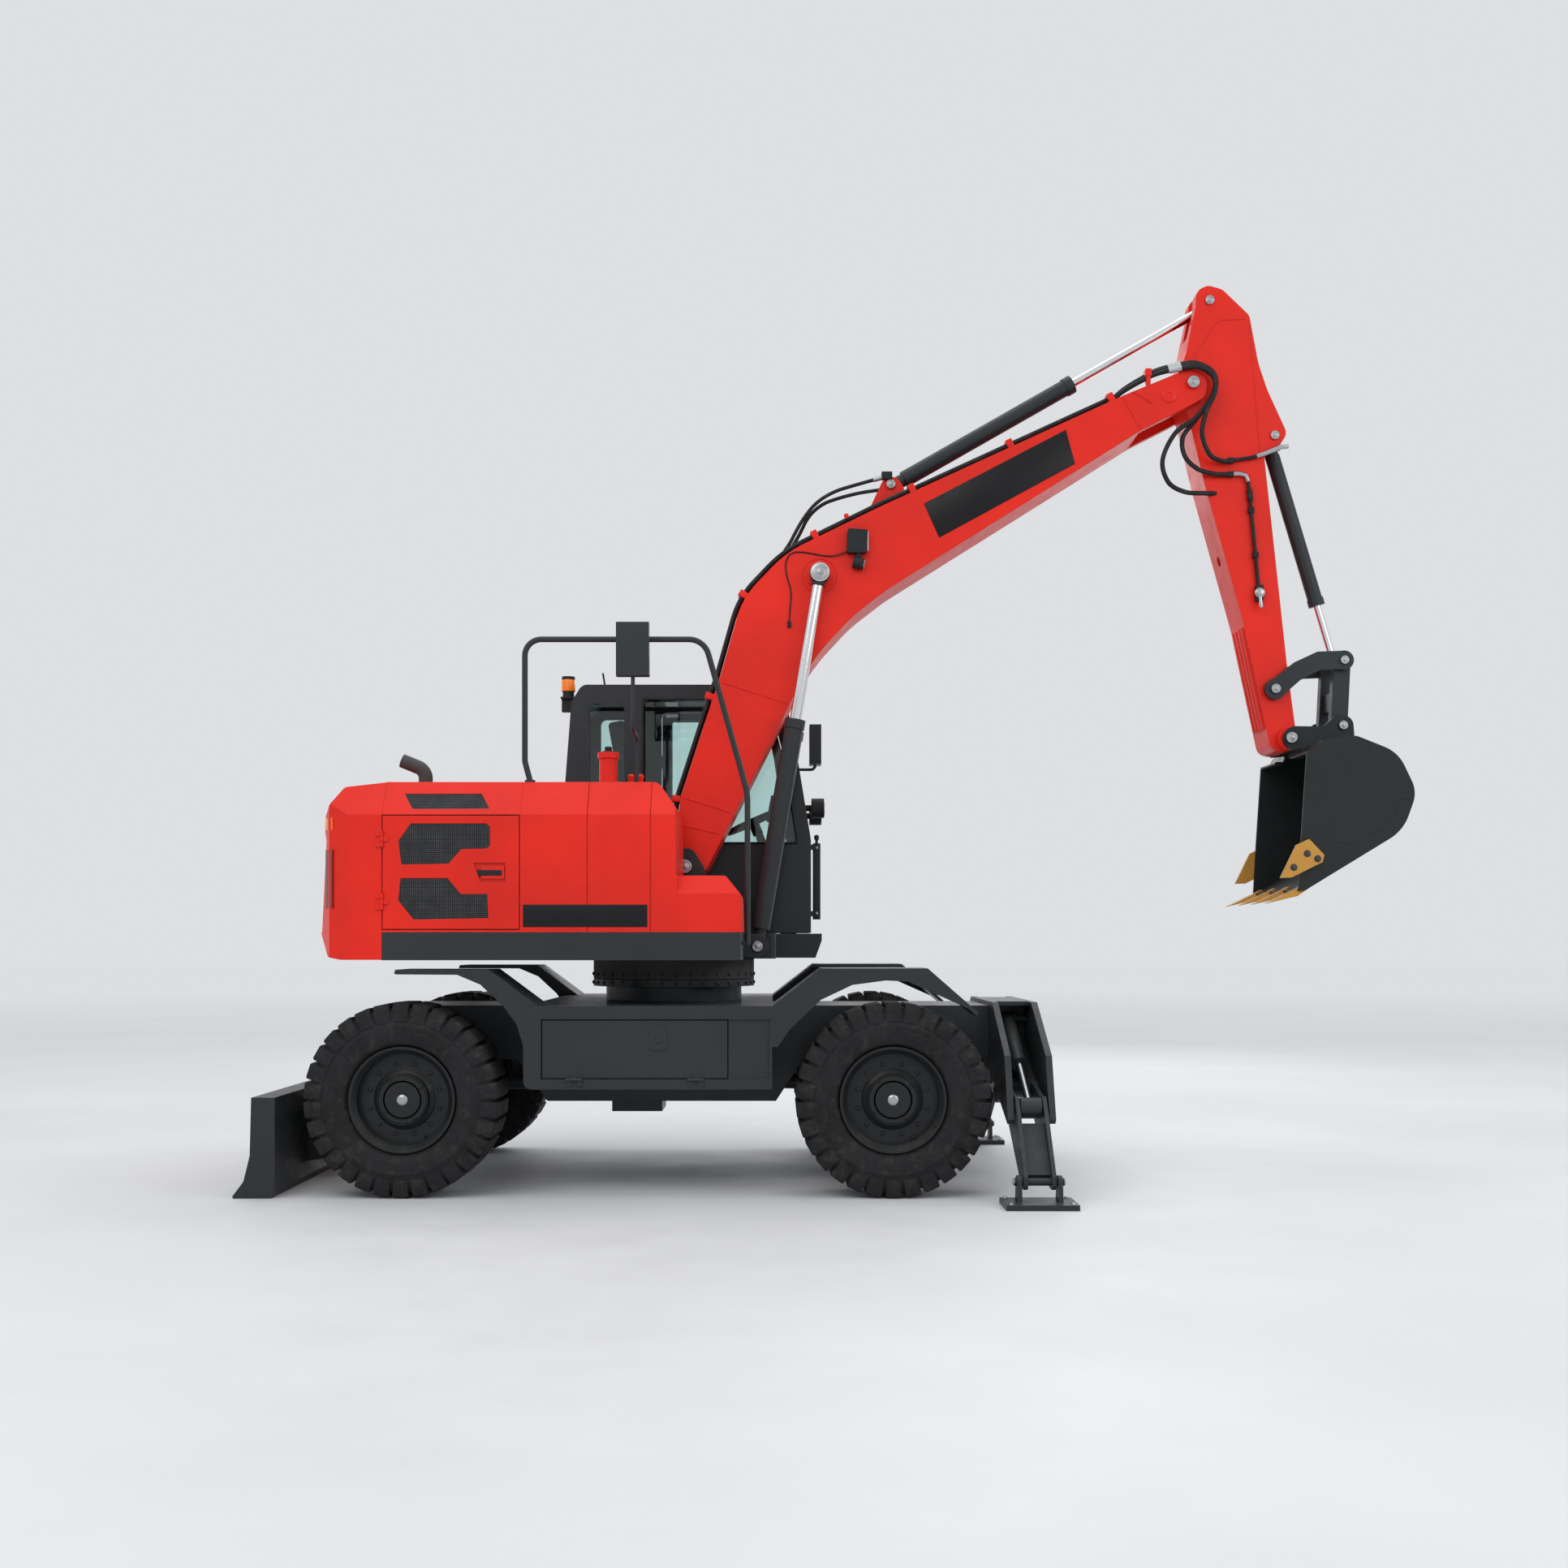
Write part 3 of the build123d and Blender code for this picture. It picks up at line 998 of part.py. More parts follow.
RAIL_R = 16.0
RAIL_Y = -1060.0
with BuildPart() as handrail:
    rail = [
        (-732, RAIL_Y, BODY_TOP + 6),
        (-761, RAIL_Y, 2380),
        (-761, RAIL_Y, 3051),
        (225, RAIL_Y, 3051),
        (434, RAIL_Y, 2310),
        (463, RAIL_Y, 2200),
        (463, RAIL_Y, PLATFORM_TOP - 70),
    ]
    tube(rail, [90, 90, 110, 200, 300], RAIL_R)
    block((-758, -706), (RAIL_Y - 20, RAIL_Y + 20), (BODY_TOP, BODY_TOP + 12))
    block((STEP_FRONT_X - 6, 479), (RAIL_Y - 12, RAIL_Y + 12), (PLATFORM_TOP - 70, PLATFORM_TOP - 46))
    with Locations((-160, -1152, 2980)):
        Box(180, 64, 292)
    arm_y = RAIL_Y + 200
    tube([(-160, -1152, 2860), (-160, -1152, 2540), (-160, arm_y, 2540), (-160, arm_y, BODY_TOP)], 60, 11)
    with Locations((888, 1290, 2725)):
        Box(80, 150, 270)
    tube([(722, CAB_Y[1], 2560), (722, 1290, 2560), (888, 1290, 2560), (888, 1290, 2640)], 30, 10)
save(handrail.part, "handrail")

# ---------------------------------------------------------------- cab

CAB_SIDE = [
    (-700, CAB_FLOOR, 0),
    (-706, 2400, 200),
    (-668, 2900, 60),
    (-600, CAB_ROOF, 60),
    (660, CAB_ROOF, 70),
    (741, 2640, 200),
    (841, 2031, 200),
    (841, CAB_FLOOR, 0),
]
CAB_INNER = [
    (-700 + CAB_WALL, CAB_FLOOR + CAB_WALL, 0),
    (-706 + CAB_WALL, 2400, 200),
    (-668 + CAB_WALL, 2870, 40),
    (-590 + CAB_WALL, CAB_ROOF - CAB_WALL - 10, 40),
    (630, CAB_ROOF - CAB_WALL - 10, 40),
    (700, 2630, 200),
    (841 - CAB_WALL, 2025, 200),
    (841 - CAB_WALL, CAB_FLOOR + CAB_WALL, 0),
]
REAR_PANE = [(-560, 2020, 40), (-560, 2886, 40), (-335, 2886, 40), (-335, 2020, 40)]
SIDE_PANE = [(-215, 2010, 40), (-215, 2916, 40), (590, 2916, 40), (665, 2620, 100), (755, 2010, 40)]
CAB_DOOR = [
    (-150, 1500, 40), (-150, 2935, 40), (600, 2935, 60), (672, 2640, 200), (775, 2010, 200), (775, 1500, 40),
]
DOOR_PANE = [
    (-85, 1900, 40), (-85, 2880, 40), (560, 2880, 50), (615, 2620, 150), (705, 2000, 60), (705, 1900, 40),
]
CAB_AXIS = (-152.0, CAB_Y[1] + 9)
CAB_HINGE_Z = (1680.0, 2560.0)
SCREEN_Y = (CAB_Y[0] + 70, CAB_Y[1] - 70)


def inset(rows, x_mid, z_mid, amount):
    """Rows moved towards a middle point by an amount on each axis."""
    return [
        (
            x + amount * math.copysign(1, x_mid - x), z + amount * math.copysign(1, z_mid - z),
            max(r - amount, 5.0),
        )
        for x, z, r in rows
    ]


with BuildPart() as cab:
    plate_y(CAB_SIDE, *CAB_Y)
    plate_y(CAB_INNER, CAB_Y[0] + CAB_WALL, CAB_Y[1] - CAB_WALL, Mode.SUBTRACT)
    for low, high in ((CAB_Y[0] - 1, CAB_Y[0] + CAB_WALL + 1), (CAB_Y[1] - CAB_WALL - 1, CAB_Y[1] + 1)):
        plate_y(REAR_PANE, low, high, Mode.SUBTRACT)
    plate_y(SIDE_PANE, CAB_Y[0] - 1, CAB_Y[0] + CAB_WALL + 1, Mode.SUBTRACT)
    plate_y(CAB_DOOR, CAB_Y[1] - CAB_WALL - 1, CAB_Y[1] + 1, Mode.SUBTRACT)
    block((-800, -600), SCREEN_Y, (2330, 2840), Mode.SUBTRACT)
    block((640, 900), SCREEN_Y, (2120, 2880), Mode.SUBTRACT)
    block((760, 900), SCREEN_Y, (1560, 2040), Mode.SUBTRACT)
    for z in CAB_HINGE_Z:
        hinge_fixed((*CAB_AXIS, z), (0, 0, 1))
        for low, high in HINGE_ENDS:
            block((CAB_AXIS[0] - 40, CAB_AXIS[0]), (CAB_Y[1] - 1, CAB_Y[1] + 6), (z + low, z + high))
save(cab.part, "cab_shell")

WALL_SIDE = (CAB_Y[0] + CAB_WALL, CAB_Y[1] - CAB_WALL)
LIP = 14.0
SCREENS = (
    [(664, 2880), (716, 2640), (802, 2120), (808, 2120), (722, 2640), (670, 2880)],
    [(818, 1560), (818, 2040), (824, 2040), (824, 1560)],
    [(-688, 2330), (-685, 2400), (-655, 2840), (-649, 2840), (-679, 2400), (-682, 2330)],
)
with BuildPart() as cab_glass:
    plate_y(inset(REAR_PANE, -450, 2450, -LIP), WALL_SIDE[0], WALL_SIDE[0] + GLASS_T)
    plate_y(inset(SIDE_PANE, 200, 2450, -LIP), WALL_SIDE[0], WALL_SIDE[0] + GLASS_T)
    plate_y(inset(REAR_PANE, -450, 2450, -LIP), WALL_SIDE[1] - GLASS_T, WALL_SIDE[1])
    for screen in SCREENS:
        plate_y(sharp(screen), *SCREEN_Y)
save(cab_glass.part, "cab_glass")

with BuildPart() as cab_door:
    plate_y(inset(CAB_DOOR, 300, 2200, SEAM), WALL_SIDE[1], CAB_Y[1])
    plate_y(DOOR_PANE, WALL_SIDE[1] - 1, CAB_Y[1] + 1, Mode.SUBTRACT)
    for z in CAB_HINGE_Z:
        low, high = (z + distance for distance in HINGE_MIDDLE)
        block((CAB_AXIS[0], CAB_AXIS[0] + 44), (CAB_Y[1], CAB_Y[1] + 6), (low, high))
        hinge_moving((*CAB_AXIS, z), (0, 0, 1))
    block((600, 700), (CAB_Y[1] - 1, CAB_Y[1] + 30), (1780, 1810))
save(cab_door.part, "cab_door")
with BuildPart() as door_glass:
    plate_y(inset(DOOR_PANE, 300, 2400, -LIP), WALL_SIDE[1] - GLASS_T, WALL_SIDE[1])
save(door_glass.part, "cab_door_glass")

SEAT_Y = (CAB_Y[0] + CAB_Y[1]) / 2
FLOOR_TOP = CAB_FLOOR + CAB_WALL
WHEEL_CENTRE = (470.0, SEAT_Y, 2170.0)
with BuildPart() as seat:
    block((-330, 130), (SEAT_Y - 180, SEAT_Y + 180), (FLOOR_TOP, 1800))
    block((-340, 190), (SEAT_Y - 250, SEAT_Y + 250), (1800, 1930))
    plate_y(
        [(-300, 1925, 0), (-430, 2560, 50), (-330, 2590, 50), (-190, 1925, 0)], SEAT_Y - 240, SEAT_Y + 240
    )
    plate_y(
        [(-415, 2600, 20), (-450, 2790, 40), (-365, 2800, 40), (-330, 2600, 20)], SEAT_Y - 140, SEAT_Y + 140
    )
    for y in (-60, 60):
        bar((-385, SEAT_Y + y, 2540), (-400, SEAT_Y + y, 2640), 8)
    for low, high in ((SEAT_Y - 370, SEAT_Y - 262), (SEAT_Y + 262, SEAT_Y + 370)):
        plate_y(
            [
                (-300, FLOOR_TOP, 0), (-300, 2060, 30), (230, 2090, 40), (230, 1950, 30), (60, 1850, 30),
                (60, FLOOR_TOP, 0),
            ],
            low, high,
        )
        stick_y = (low + high) / 2
        bar((150, stick_y, 2060), (170, stick_y, 2230), 18)
    plate_y(
        [
            (560, FLOOR_TOP, 0), (560, 1800, 30), (480, 2110, 20), (520, 2130, 20), (660, 1800, 30),
            (690, FLOOR_TOP, 0),
        ],
        SEAT_Y - 60, SEAT_Y + 60,
    )
    tilt = Plane(origin=WHEEL_CENTRE, z_dir=(-0.45, 0, 1))
    with Locations(tilt):
        Torus(180, 15)
    for spoke in range(3):
        angle = math.radians(90 + 120 * spoke)
        rim_point = tilt.from_local_coords((180 * math.cos(angle), 180 * math.sin(angle), 0))
        bar(WHEEL_CENTRE, tuple(rim_point), 12)
    bar(tuple(tilt.from_local_coords((0, 0, -90))), tuple(tilt.from_local_coords((0, 0, 12))), 34)
    block((560, 760), (SEAT_Y - 200, SEAT_Y + 200), (FLOOR_TOP, FLOOR_TOP + 60))
save(seat.part, "seat_and_controls")

with BuildPart() as lamps:
    bar((-700, 500, 2980), (-700, 500, 3074), 42)
    bar((-700, 500, 2943), (-700, 500, 2980), 36)
    block((-745, -655), (455, 545), (2931, 2943))
    block((-740, -672), (475, 525), (2850, 2931))
    for y in (450, 1150):
        bar((845, y, 2235), (925, y, 2235), 62)
        bar((800, y, 2235), (850, y, 2235), 20)
    for y in (560, 1040):
        bar((640, y, CAB_ROOF - 20), (640, y, CAB_ROOF + 20), 12)
        block((600, 690), (y - 60, y + 60), (CAB_ROOF + 20, CAB_ROOF + 110))
    bar((-480, 700, CAB_ROOF - 2), (-500, 700, CAB_ROOF + 120), 6)
    add(cab.part, mode=Mode.SUBTRACT)
save(lamps.part, "lamps")

# ---------------------------------------------------------------- boom, stick and bucket

# Boom side outline: (x, z, corner radius)
BOOM_ROWS = [
    (-5, 1800, 60),
    (51, 2251, 300),
    (297, 3006, 900),
    (420, 3440, 500),
    (680, 3712, 700),
    (1227, 3979, 2500),
    (2688, 4647, 600),
    (3090, 4812, 70),
    (3200, 4760, 70),
    (3185, 4640, 70),
    (3046, 4565, 200),
    (2800, 4441, 600),
    (1290, 3495, 900),
    (1077, 3331, 900),
    (815, 3050, 1200),
    (704, 2808, 900),
    (195, 1800, 60),
]
FORK_X = 2780.0
WEB_T = 20.0
with BuildPart() as boom_hollow:
    beam_inside(BOOM_ROWS, BOOM_HALF_W - PLATE_T, WEB_T)
    for centre, reach in ((BOOM_FOOT, 280), (BOOM_TIP, 420)):
        x_span, z_span = ((middle - reach, middle + reach) for middle in centre)
        block(x_span, (-BOOM_HALF_W, BOOM_HALF_W), z_span, Mode.SUBTRACT)
with BuildPart() as boom:
    plate_y(BOOM_ROWS, -BOOM_HALF_W, BOOM_HALF_W)
    cross_bar(BOOM_FOOT, 105, -BOOM_HALF_W, BOOM_HALF_W)
    add(boom_hollow.part, mode=Mode.SUBTRACT)
    plate_y(
        sharp(
            [(FORK_X + 60, 5000), (FORK_X, 4300), (3400, 4300), (3400, 5000)]
        ), -FORK_HALF_GAP, FORK_HALF_GAP, Mode.SUBTRACT
    )
    cross_bar(BOOM_FOOT, 45 + RUN_FIT, -BOOM_HALF_W, BOOM_HALF_W, Mode.SUBTRACT)
    cross_bar(BOOM_TIP, 38, -BOOM_HALF_W - 22, BOOM_HALF_W + 22)
    for low, high in pair(BOOM_HALF_W - 1, BOOM_HALF_W + 26):
        cross_bar(BOOM_CYL_ROD, 78, low, high)
    for low, high in pair(50, 76):
        plate_y(
            [(1150, 3930, 0), (1262, 4170, 60), (1330, 4225, 60), (1385, 4150, 50), (1430, 4040, 0)], low,
            high,
        )
    cross_bar(STICK_CYL_BASE, 30, -92, 92)
    bar((420, 0, 2560), (760, 0, 2390), 30, Mode.SUBTRACT)
save(boom.part, "boom")

HOSE_R = 14.0
HOSE_BEND = 170.0
HOSE_LIFT = 24.0
HOSE_Y = (-168.0, -128.0, -88.0)
HOSE_CLAMPS = (0.04, 0.20, 0.36, 0.50, 0.66, 0.82, 0.985)


def beside(points, gap):
    """An open line of points moved to the left of its run by a gap."""
    moved = []
    for index, point in enumerate(points):
        before, after = points[max(index - 1, 0)], points[min(index + 1, len(points) - 1)]
        ways = []
        for start, end in ((before, point), (point, after)):
            length = math.dist(start, end)
            if length > 0:
                ways.append(((end[0] - start[0]) / length, (end[1] - start[1]) / length))
        way = (ways[0][0] + ways[-1][0], ways[0][1] + ways[-1][1])
        size = math.hypot(*way)
        share = (way[0] * ways[0][0] + way[1] * ways[0][1]) / size
        moved.append((point[0] - way[1] / size * gap / share, point[1] + way[0] / size * gap / share))
    return moved


BOOM_BACK = [(30, 2082)] + [row[:2] for row in BOOM_ROWS[1:7]]
HOSE_BENDS = [300 + HOSE_LIFT, 900, 500 + HOSE_LIFT, 700 + HOSE_LIFT, 2500]
with BuildPart() as boom_hoses:
    for y in HOSE_Y:
        tube([(x, y, z) for x, z in beside(BOOM_BACK, HOSE_LIFT)], HOSE_BENDS, HOSE_R)
    with BuildLine(Plane.XZ) as hose_line:
        FilletPolyline(*beside(BOOM_BACK, HOSE_LIFT), radius=HOSE_BENDS)
    hose_path = hose_line.line
    for share in HOSE_CLAMPS:
        middle, way = hose_path @ share, hose_path % share
        with Locations(
            Plane(
                origin=(middle.X, sum(HOSE_Y) / 3, middle.Z), x_dir=(way.X, 0, way.Z),
                z_dir=(-way.Z, 0, way.X),
            ),
        ):
            Box(34, HOSE_Y[2] - HOSE_Y[0] + 60, 2 * HOSE_LIFT)
    add(boom.part, mode=Mode.SUBTRACT)
save(boom_hoses.part, "boom_hoses")

with BuildPart() as boom_lamp:
    plate_y(
        [
            (1040, 3700, 14), (1160, 3700, 14), (1166, 3836, 14), (1046, 3844, 14),
        ], -BOOM_HALF_W - 58, -BOOM_HALF_W
    )
    bar((1110, -BOOM_HALF_W - 30, 3702), (1110, -BOOM_HALF_W - 30, 3668), 16)
    bar((1078, -BOOM_HALF_W - 34, 3646), (1142, -BOOM_HALF_W - 34, 3634), 34)
save(boom_lamp.part, "boom_lamp")

BOOM_BARREL = 1362.0
BOOM_ROD = 1300.0
with BuildPart() as boom_barrels:
    for y in (-BOOM_CYL_Y, BOOM_CYL_Y):
        barrel_of(BOOM_CYL_BASE, BOOM_CYL_ROD, y, 55, 34, BOOM_BARREL, 38, 62, 35)
save(boom_barrels.part, "boom_barrels")
with BuildPart() as boom_rods:
    for y in (-BOOM_CYL_Y, BOOM_CYL_Y):
        rod_of(BOOM_CYL_BASE, BOOM_CYL_ROD, y, 34, BOOM_ROD, 50, 56)
save(boom_rods.part, "boom_rods")

STICK_BARREL = 1273.0
STICK_ROD = 1200.0
with BuildPart() as stick_barrel:
    barrel_of(STICK_CYL_BASE, STICK_TOP, 0, 50, 25, STICK_BARREL, 44, 52, 30)
save(stick_barrel.part, "stick_barrel")
with BuildPart() as stick_rod:
    rod_of(STICK_CYL_BASE, STICK_TOP, 0, 25, STICK_ROD, 50, 50)
save(stick_rod.part, "stick_rod")

# Stick side outline: (x, z, corner radius)
STICK_ROWS = [
    (3146, 5300, 60),
    (3215, 5330, 60),
    (3300, 5305, 60),
    (3462, 5150, 60),
    (3517, 4858, 600),
    (3571, 4700, 300),
    (3690, 4440, 60),
    (3640, 4362, 60),
    (3548, 4335, 30),
    (3690, 3032, 0),
    (3748, 2600, 70),
    (3680, 2520, 70),
    (3590, 2545, 60),
    (3500, 2960, 300),
    (3425, 3310, 600),
    (3187, 4160, 600),
    (3085, 4590, 300),
    (2995, 4700, 90),
    (3080, 4910, 300),
    (3140, 5200, 100),
]
CLEVIS_GAP = 56.0
STICK_SOLIDS = (
    ((2978, 3238), (4595, 4855)),
    ((3400, 3900), (2350, 2770)),
    ((2850, 3550), (5040, 5440)),
    ((3510, 3770), (4290, 4550)),
)
with BuildPart() as stick_hollow:
    beam_inside(STICK_ROWS, STICK_HALF_W - PLATE_T, 16)
    for x_span, z_span in STICK_SOLIDS:
        block(x_span, (-STICK_HALF_W, STICK_HALF_W), z_span, Mode.SUBTRACT)
with BuildPart() as stick:
    plate_y(STICK_ROWS, -STICK_HALF_W, STICK_HALF_W)
    add(stick_hollow.part, mode=Mode.SUBTRACT)
    plate_y(
        sharp(
            [(3000, 5150), (3130, 5020), (3480, 5060), (3520, 5400), (3000, 5400)]
        ), -CLEVIS_GAP, CLEVIS_GAP, Mode.SUBTRACT
    )
    plate_y(
        sharp(
            [(3560, 4530), (3540, 4300), (3760, 4300), (3760, 4530)]
        ), -CLEVIS_GAP, CLEVIS_GAP, Mode.SUBTRACT
    )
    cross_bar(BUCKET_CYL_BASE, 28, -STICK_HALF_W - 10, STICK_HALF_W + 10)
    cross_bar(BOOM_TIP, 38 + RUN_FIT, -STICK_HALF_W, STICK_HALF_W, Mode.SUBTRACT)
    for low, high in pair(CLEVIS_GAP, STICK_HALF_W + 8):
        cross_bar(STICK_TOP, 30, low, high)
    cross_bar(ROCKER_PIN, 30 + RUN_FIT, -STICK_HALF_W, STICK_HALF_W, Mode.SUBTRACT)
    cross_bar(BUCKET_PIN, 70, -EAR_Y[0] + 4, EAR_Y[0] - 4)
    cross_bar(BUCKET_PIN, 36 + RUN_FIT, -EAR_Y[0], EAR_Y[0], Mode.SUBTRACT)
    bar((3400, 0, 3700), (3200, 0, 3700), 30, Mode.SUBTRACT)
save(stick.part, "stick")

PIPE_R = 11.0
PIPE_Y = -STICK_HALF_W - 18
with BuildPart() as stick_pipes:
    tube(
        [(x, PIPE_Y, z) for x, z in ((3330, 4190), (3440, 4196), (3455, 4110), (3512, 3520))], [40, 60],
        PIPE_R
    )
    tube([(x, PIPE_Y, z) for x, z in ((3330, 4270), (3480, 4292), (3640, 4352))], [200], PIPE_R)
    for x, z in ((3345, 4190), (3345, 4272), (3468, 3975), (3494, 3706)):
        block((x - 16, x + 16), (PIPE_Y - PIPE_R - 4, -STICK_HALF_W), (z - 16, z + 16))
    block((3494, 3538), (PIPE_Y - PIPE_R - 8, -STICK_HALF_W), (3430, 3524))
    bar((3634, PIPE_Y, 4350), (3634, -STICK_HALF_W, 4350), 16)
save(stick_pipes.part, "stick_pipes")

BUCKET_BARREL = 1040.0
BUCKET_ROD = 960.0
with BuildPart() as bucket_barrel:
    barrel_of(BUCKET_CYL_BASE, LINK_PIN, 0, 44, 23, BUCKET_BARREL, 44, 46, 28)
save(bucket_barrel.part, "bucket_barrel")
with BuildPart() as bucket_rod:
    rod_of(BUCKET_CYL_BASE, LINK_PIN, 0, 23, BUCKET_ROD, 50, 44)
save(bucket_rod.part, "bucket_rod")

with BuildPart() as rocker:
    bow = [
        (ROCKER_PIN[0] - 30, 2945), (3720, 3060), (3860, 3125), (4000, 3130), (4055, 3100), (4055, 3040),
        (4000, 3020), (3880, 3015), (3770, 2965), (3650, 2860),
    ]
    for low, high in pair(*ROCKER_Y):
        plate_y(sharp(bow), low, high)
        cross_bar(ROCKER_PIN, 62, low, high)
        cross_bar(LINK_PIN, 58, low, high)
    for low, high in pair(ROCKER_Y[0], ROCKER_Y[1] + 12):
        cross_bar(LINK_PIN, 26, low, high)
    cross_bar(ROCKER_PIN, 30, -ROCKER_Y[1] - 12, ROCKER_Y[1] + 12)
save(rocker.part, "rocker")

with BuildPart() as h_link:
    for low, high in pair(92, ROCKER_Y[0] - GAP):
        plate_y(arm_rows(LINK_PIN, BUCKET_LINK_PIN, 50, 50), low, high)
        cross_bar(LINK_PIN, 50, low, high)
        cross_bar(BUCKET_LINK_PIN, 50, low, high)
    middle = ((LINK_PIN[0] + BUCKET_LINK_PIN[0]) / 2, (LINK_PIN[1] + BUCKET_LINK_PIN[1]) / 2)
    block((middle[0] - 30, middle[0] + 30), (-93, 93), (middle[1] - 90, middle[1] + 20))
    for low, high in pair(92, ROCKER_Y[0] - GAP):
        cross_bar(BUCKET_LINK_PIN, 28 + RUN_FIT, low, high, Mode.SUBTRACT)
save(h_link.part, "h_link")

# Bucket outline at its side plates: (x, z, corner radius); the mouth faces -X.
BUCKET_ROWS = [
    (3705, 2500, 10),
    (3752, 2500, 10),
    (3790, 2560, 30),
    (3985, 2590, 120),
    (4235, 2490, 220),
    (4345, 2260, 170),
    (4265, 2035, 260),
    (3700, 1690, 0),
    (3655, 1682, 0),
    (3671, 1974, 0),
]
BUCKET_INSIDE = [
    (3500, 2484, 0),
    (3755, 2484, 10),
    (3800, 2546, 30),
    (3983, 2574, 110),
    (4224, 2478, 205),
    (4328, 2260, 155),
    (4252, 2046, 245),
    (3690, 1703, 0),
    (3500, 1672, 0),
]
with BuildPart() as bucket:
    plate_y(BUCKET_ROWS, -BUCKET_HALF_W, BUCKET_HALF_W)
    plate_y(BUCKET_INSIDE, -BUCKET_HALF_W + BUCKET_WALL, BUCKET_HALF_W - BUCKET_WALL, Mode.SUBTRACT)
    block((3690, 3780), (-STICK_HALF_W - 14, STICK_HALF_W + 14), (2460, 2620), Mode.SUBTRACT)
    ear_rows = [
        (3693, 2530, 0), (3625, 2605, 60), (3693, 2675, 60), (3890, 2672, 100), (3960, 2745, 60),
        (4060, 2730, 60), (4070, 2600, 0), (4070, 2550, 0), (3800, 2540, 0),
    ]
    for low, high in pair(*EAR_Y):
        plate_y(ear_rows, low, high)
    cross_bar(BUCKET_PIN, 36, -EAR_Y[1] - 12, EAR_Y[1] + 12)
    cross_bar(BUCKET_LINK_PIN, 28, -EAR_Y[1] - 12, EAR_Y[1] + 12)
save(bucket.part, "bucket")

TOOTH_Y = (-450.0, -150.0, 150.0, 450.0)
with BuildPart() as teeth:
    for y in TOOTH_Y:
        with BuildSketch(Plane.XZ.offset(-y - 38)) as tooth:
            with BuildLine():
                Polyline((3478, 1612), (3655, 1698), (3690, 1718), (3720, 1700), (3655, 1655), close=True)
            make_face()
        extrude(tooth.sketch, amount=76)
    for low, high in pair(BUCKET_HALF_W, BUCKET_HALF_W + 22):
        plate_y(
            sharp([(3545, 1758), (3638, 1950), (3712, 1985), (3800, 1892), (3790, 1850), (3610, 1760)]),
            low, high,
        )
    add(bucket.part, mode=Mode.SUBTRACT)
save(teeth.part, "bucket_teeth")
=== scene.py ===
"""Wheeled excavator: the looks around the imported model. Metres, +X forward, +Y left, +Z up."""

import json
import math

import bmesh
import bpy
from mathutils import Matrix, Vector


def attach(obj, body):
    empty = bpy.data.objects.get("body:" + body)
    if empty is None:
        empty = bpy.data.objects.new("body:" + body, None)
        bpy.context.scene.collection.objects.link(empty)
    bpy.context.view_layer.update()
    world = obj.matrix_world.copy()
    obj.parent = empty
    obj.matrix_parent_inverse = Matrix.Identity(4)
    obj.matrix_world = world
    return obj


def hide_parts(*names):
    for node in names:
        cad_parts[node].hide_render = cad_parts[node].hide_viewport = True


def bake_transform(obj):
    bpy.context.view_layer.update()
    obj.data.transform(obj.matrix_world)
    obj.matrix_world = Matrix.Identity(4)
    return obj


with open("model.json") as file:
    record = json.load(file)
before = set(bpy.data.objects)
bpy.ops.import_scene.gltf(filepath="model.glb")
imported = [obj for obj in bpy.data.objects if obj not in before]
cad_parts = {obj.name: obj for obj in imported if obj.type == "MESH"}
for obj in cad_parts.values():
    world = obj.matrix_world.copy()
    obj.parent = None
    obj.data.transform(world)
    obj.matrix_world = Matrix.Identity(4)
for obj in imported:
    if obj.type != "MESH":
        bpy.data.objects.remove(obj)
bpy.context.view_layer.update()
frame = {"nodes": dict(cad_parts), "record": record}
NODES = frame["nodes"]

ORIGIN_X = -1.035  # the slew axis, in the frame
SIDES = (-1, 1)
HANDS = (("right", -1), ("left", 1))


def at(x, y, z):
    """A point given in millimetres from the slew axis, in the frame's metres."""
    return Vector((x / 1000 + ORIGIN_X, y / 1000, z / 1000))


# ---------------------------------------------------------------- materials

RED = (0.68, 0.012, 0.002)
CHARCOAL = (0.022, 0.026, 0.029)
RUBBER = (0.012, 0.012, 0.013)
RIM_BLACK = (0.010, 0.011, 0.012)
CHROME = (0.78, 0.79, 0.80)
STEEL = (0.42, 0.43, 0.44)
IRON = (0.05, 0.05, 0.052)
OCHRE = (0.50, 0.25, 0.045)
PLASTIC = (0.014, 0.015, 0.016)
GLASS = (0.70, 0.86, 0.84)
DUST = (0.30, 0.29, 0.27)
TYRE_DUST = (0.10, 0.095, 0.085)
SPECULAR = 0.24
COAT_ROUGHNESS = 0.12


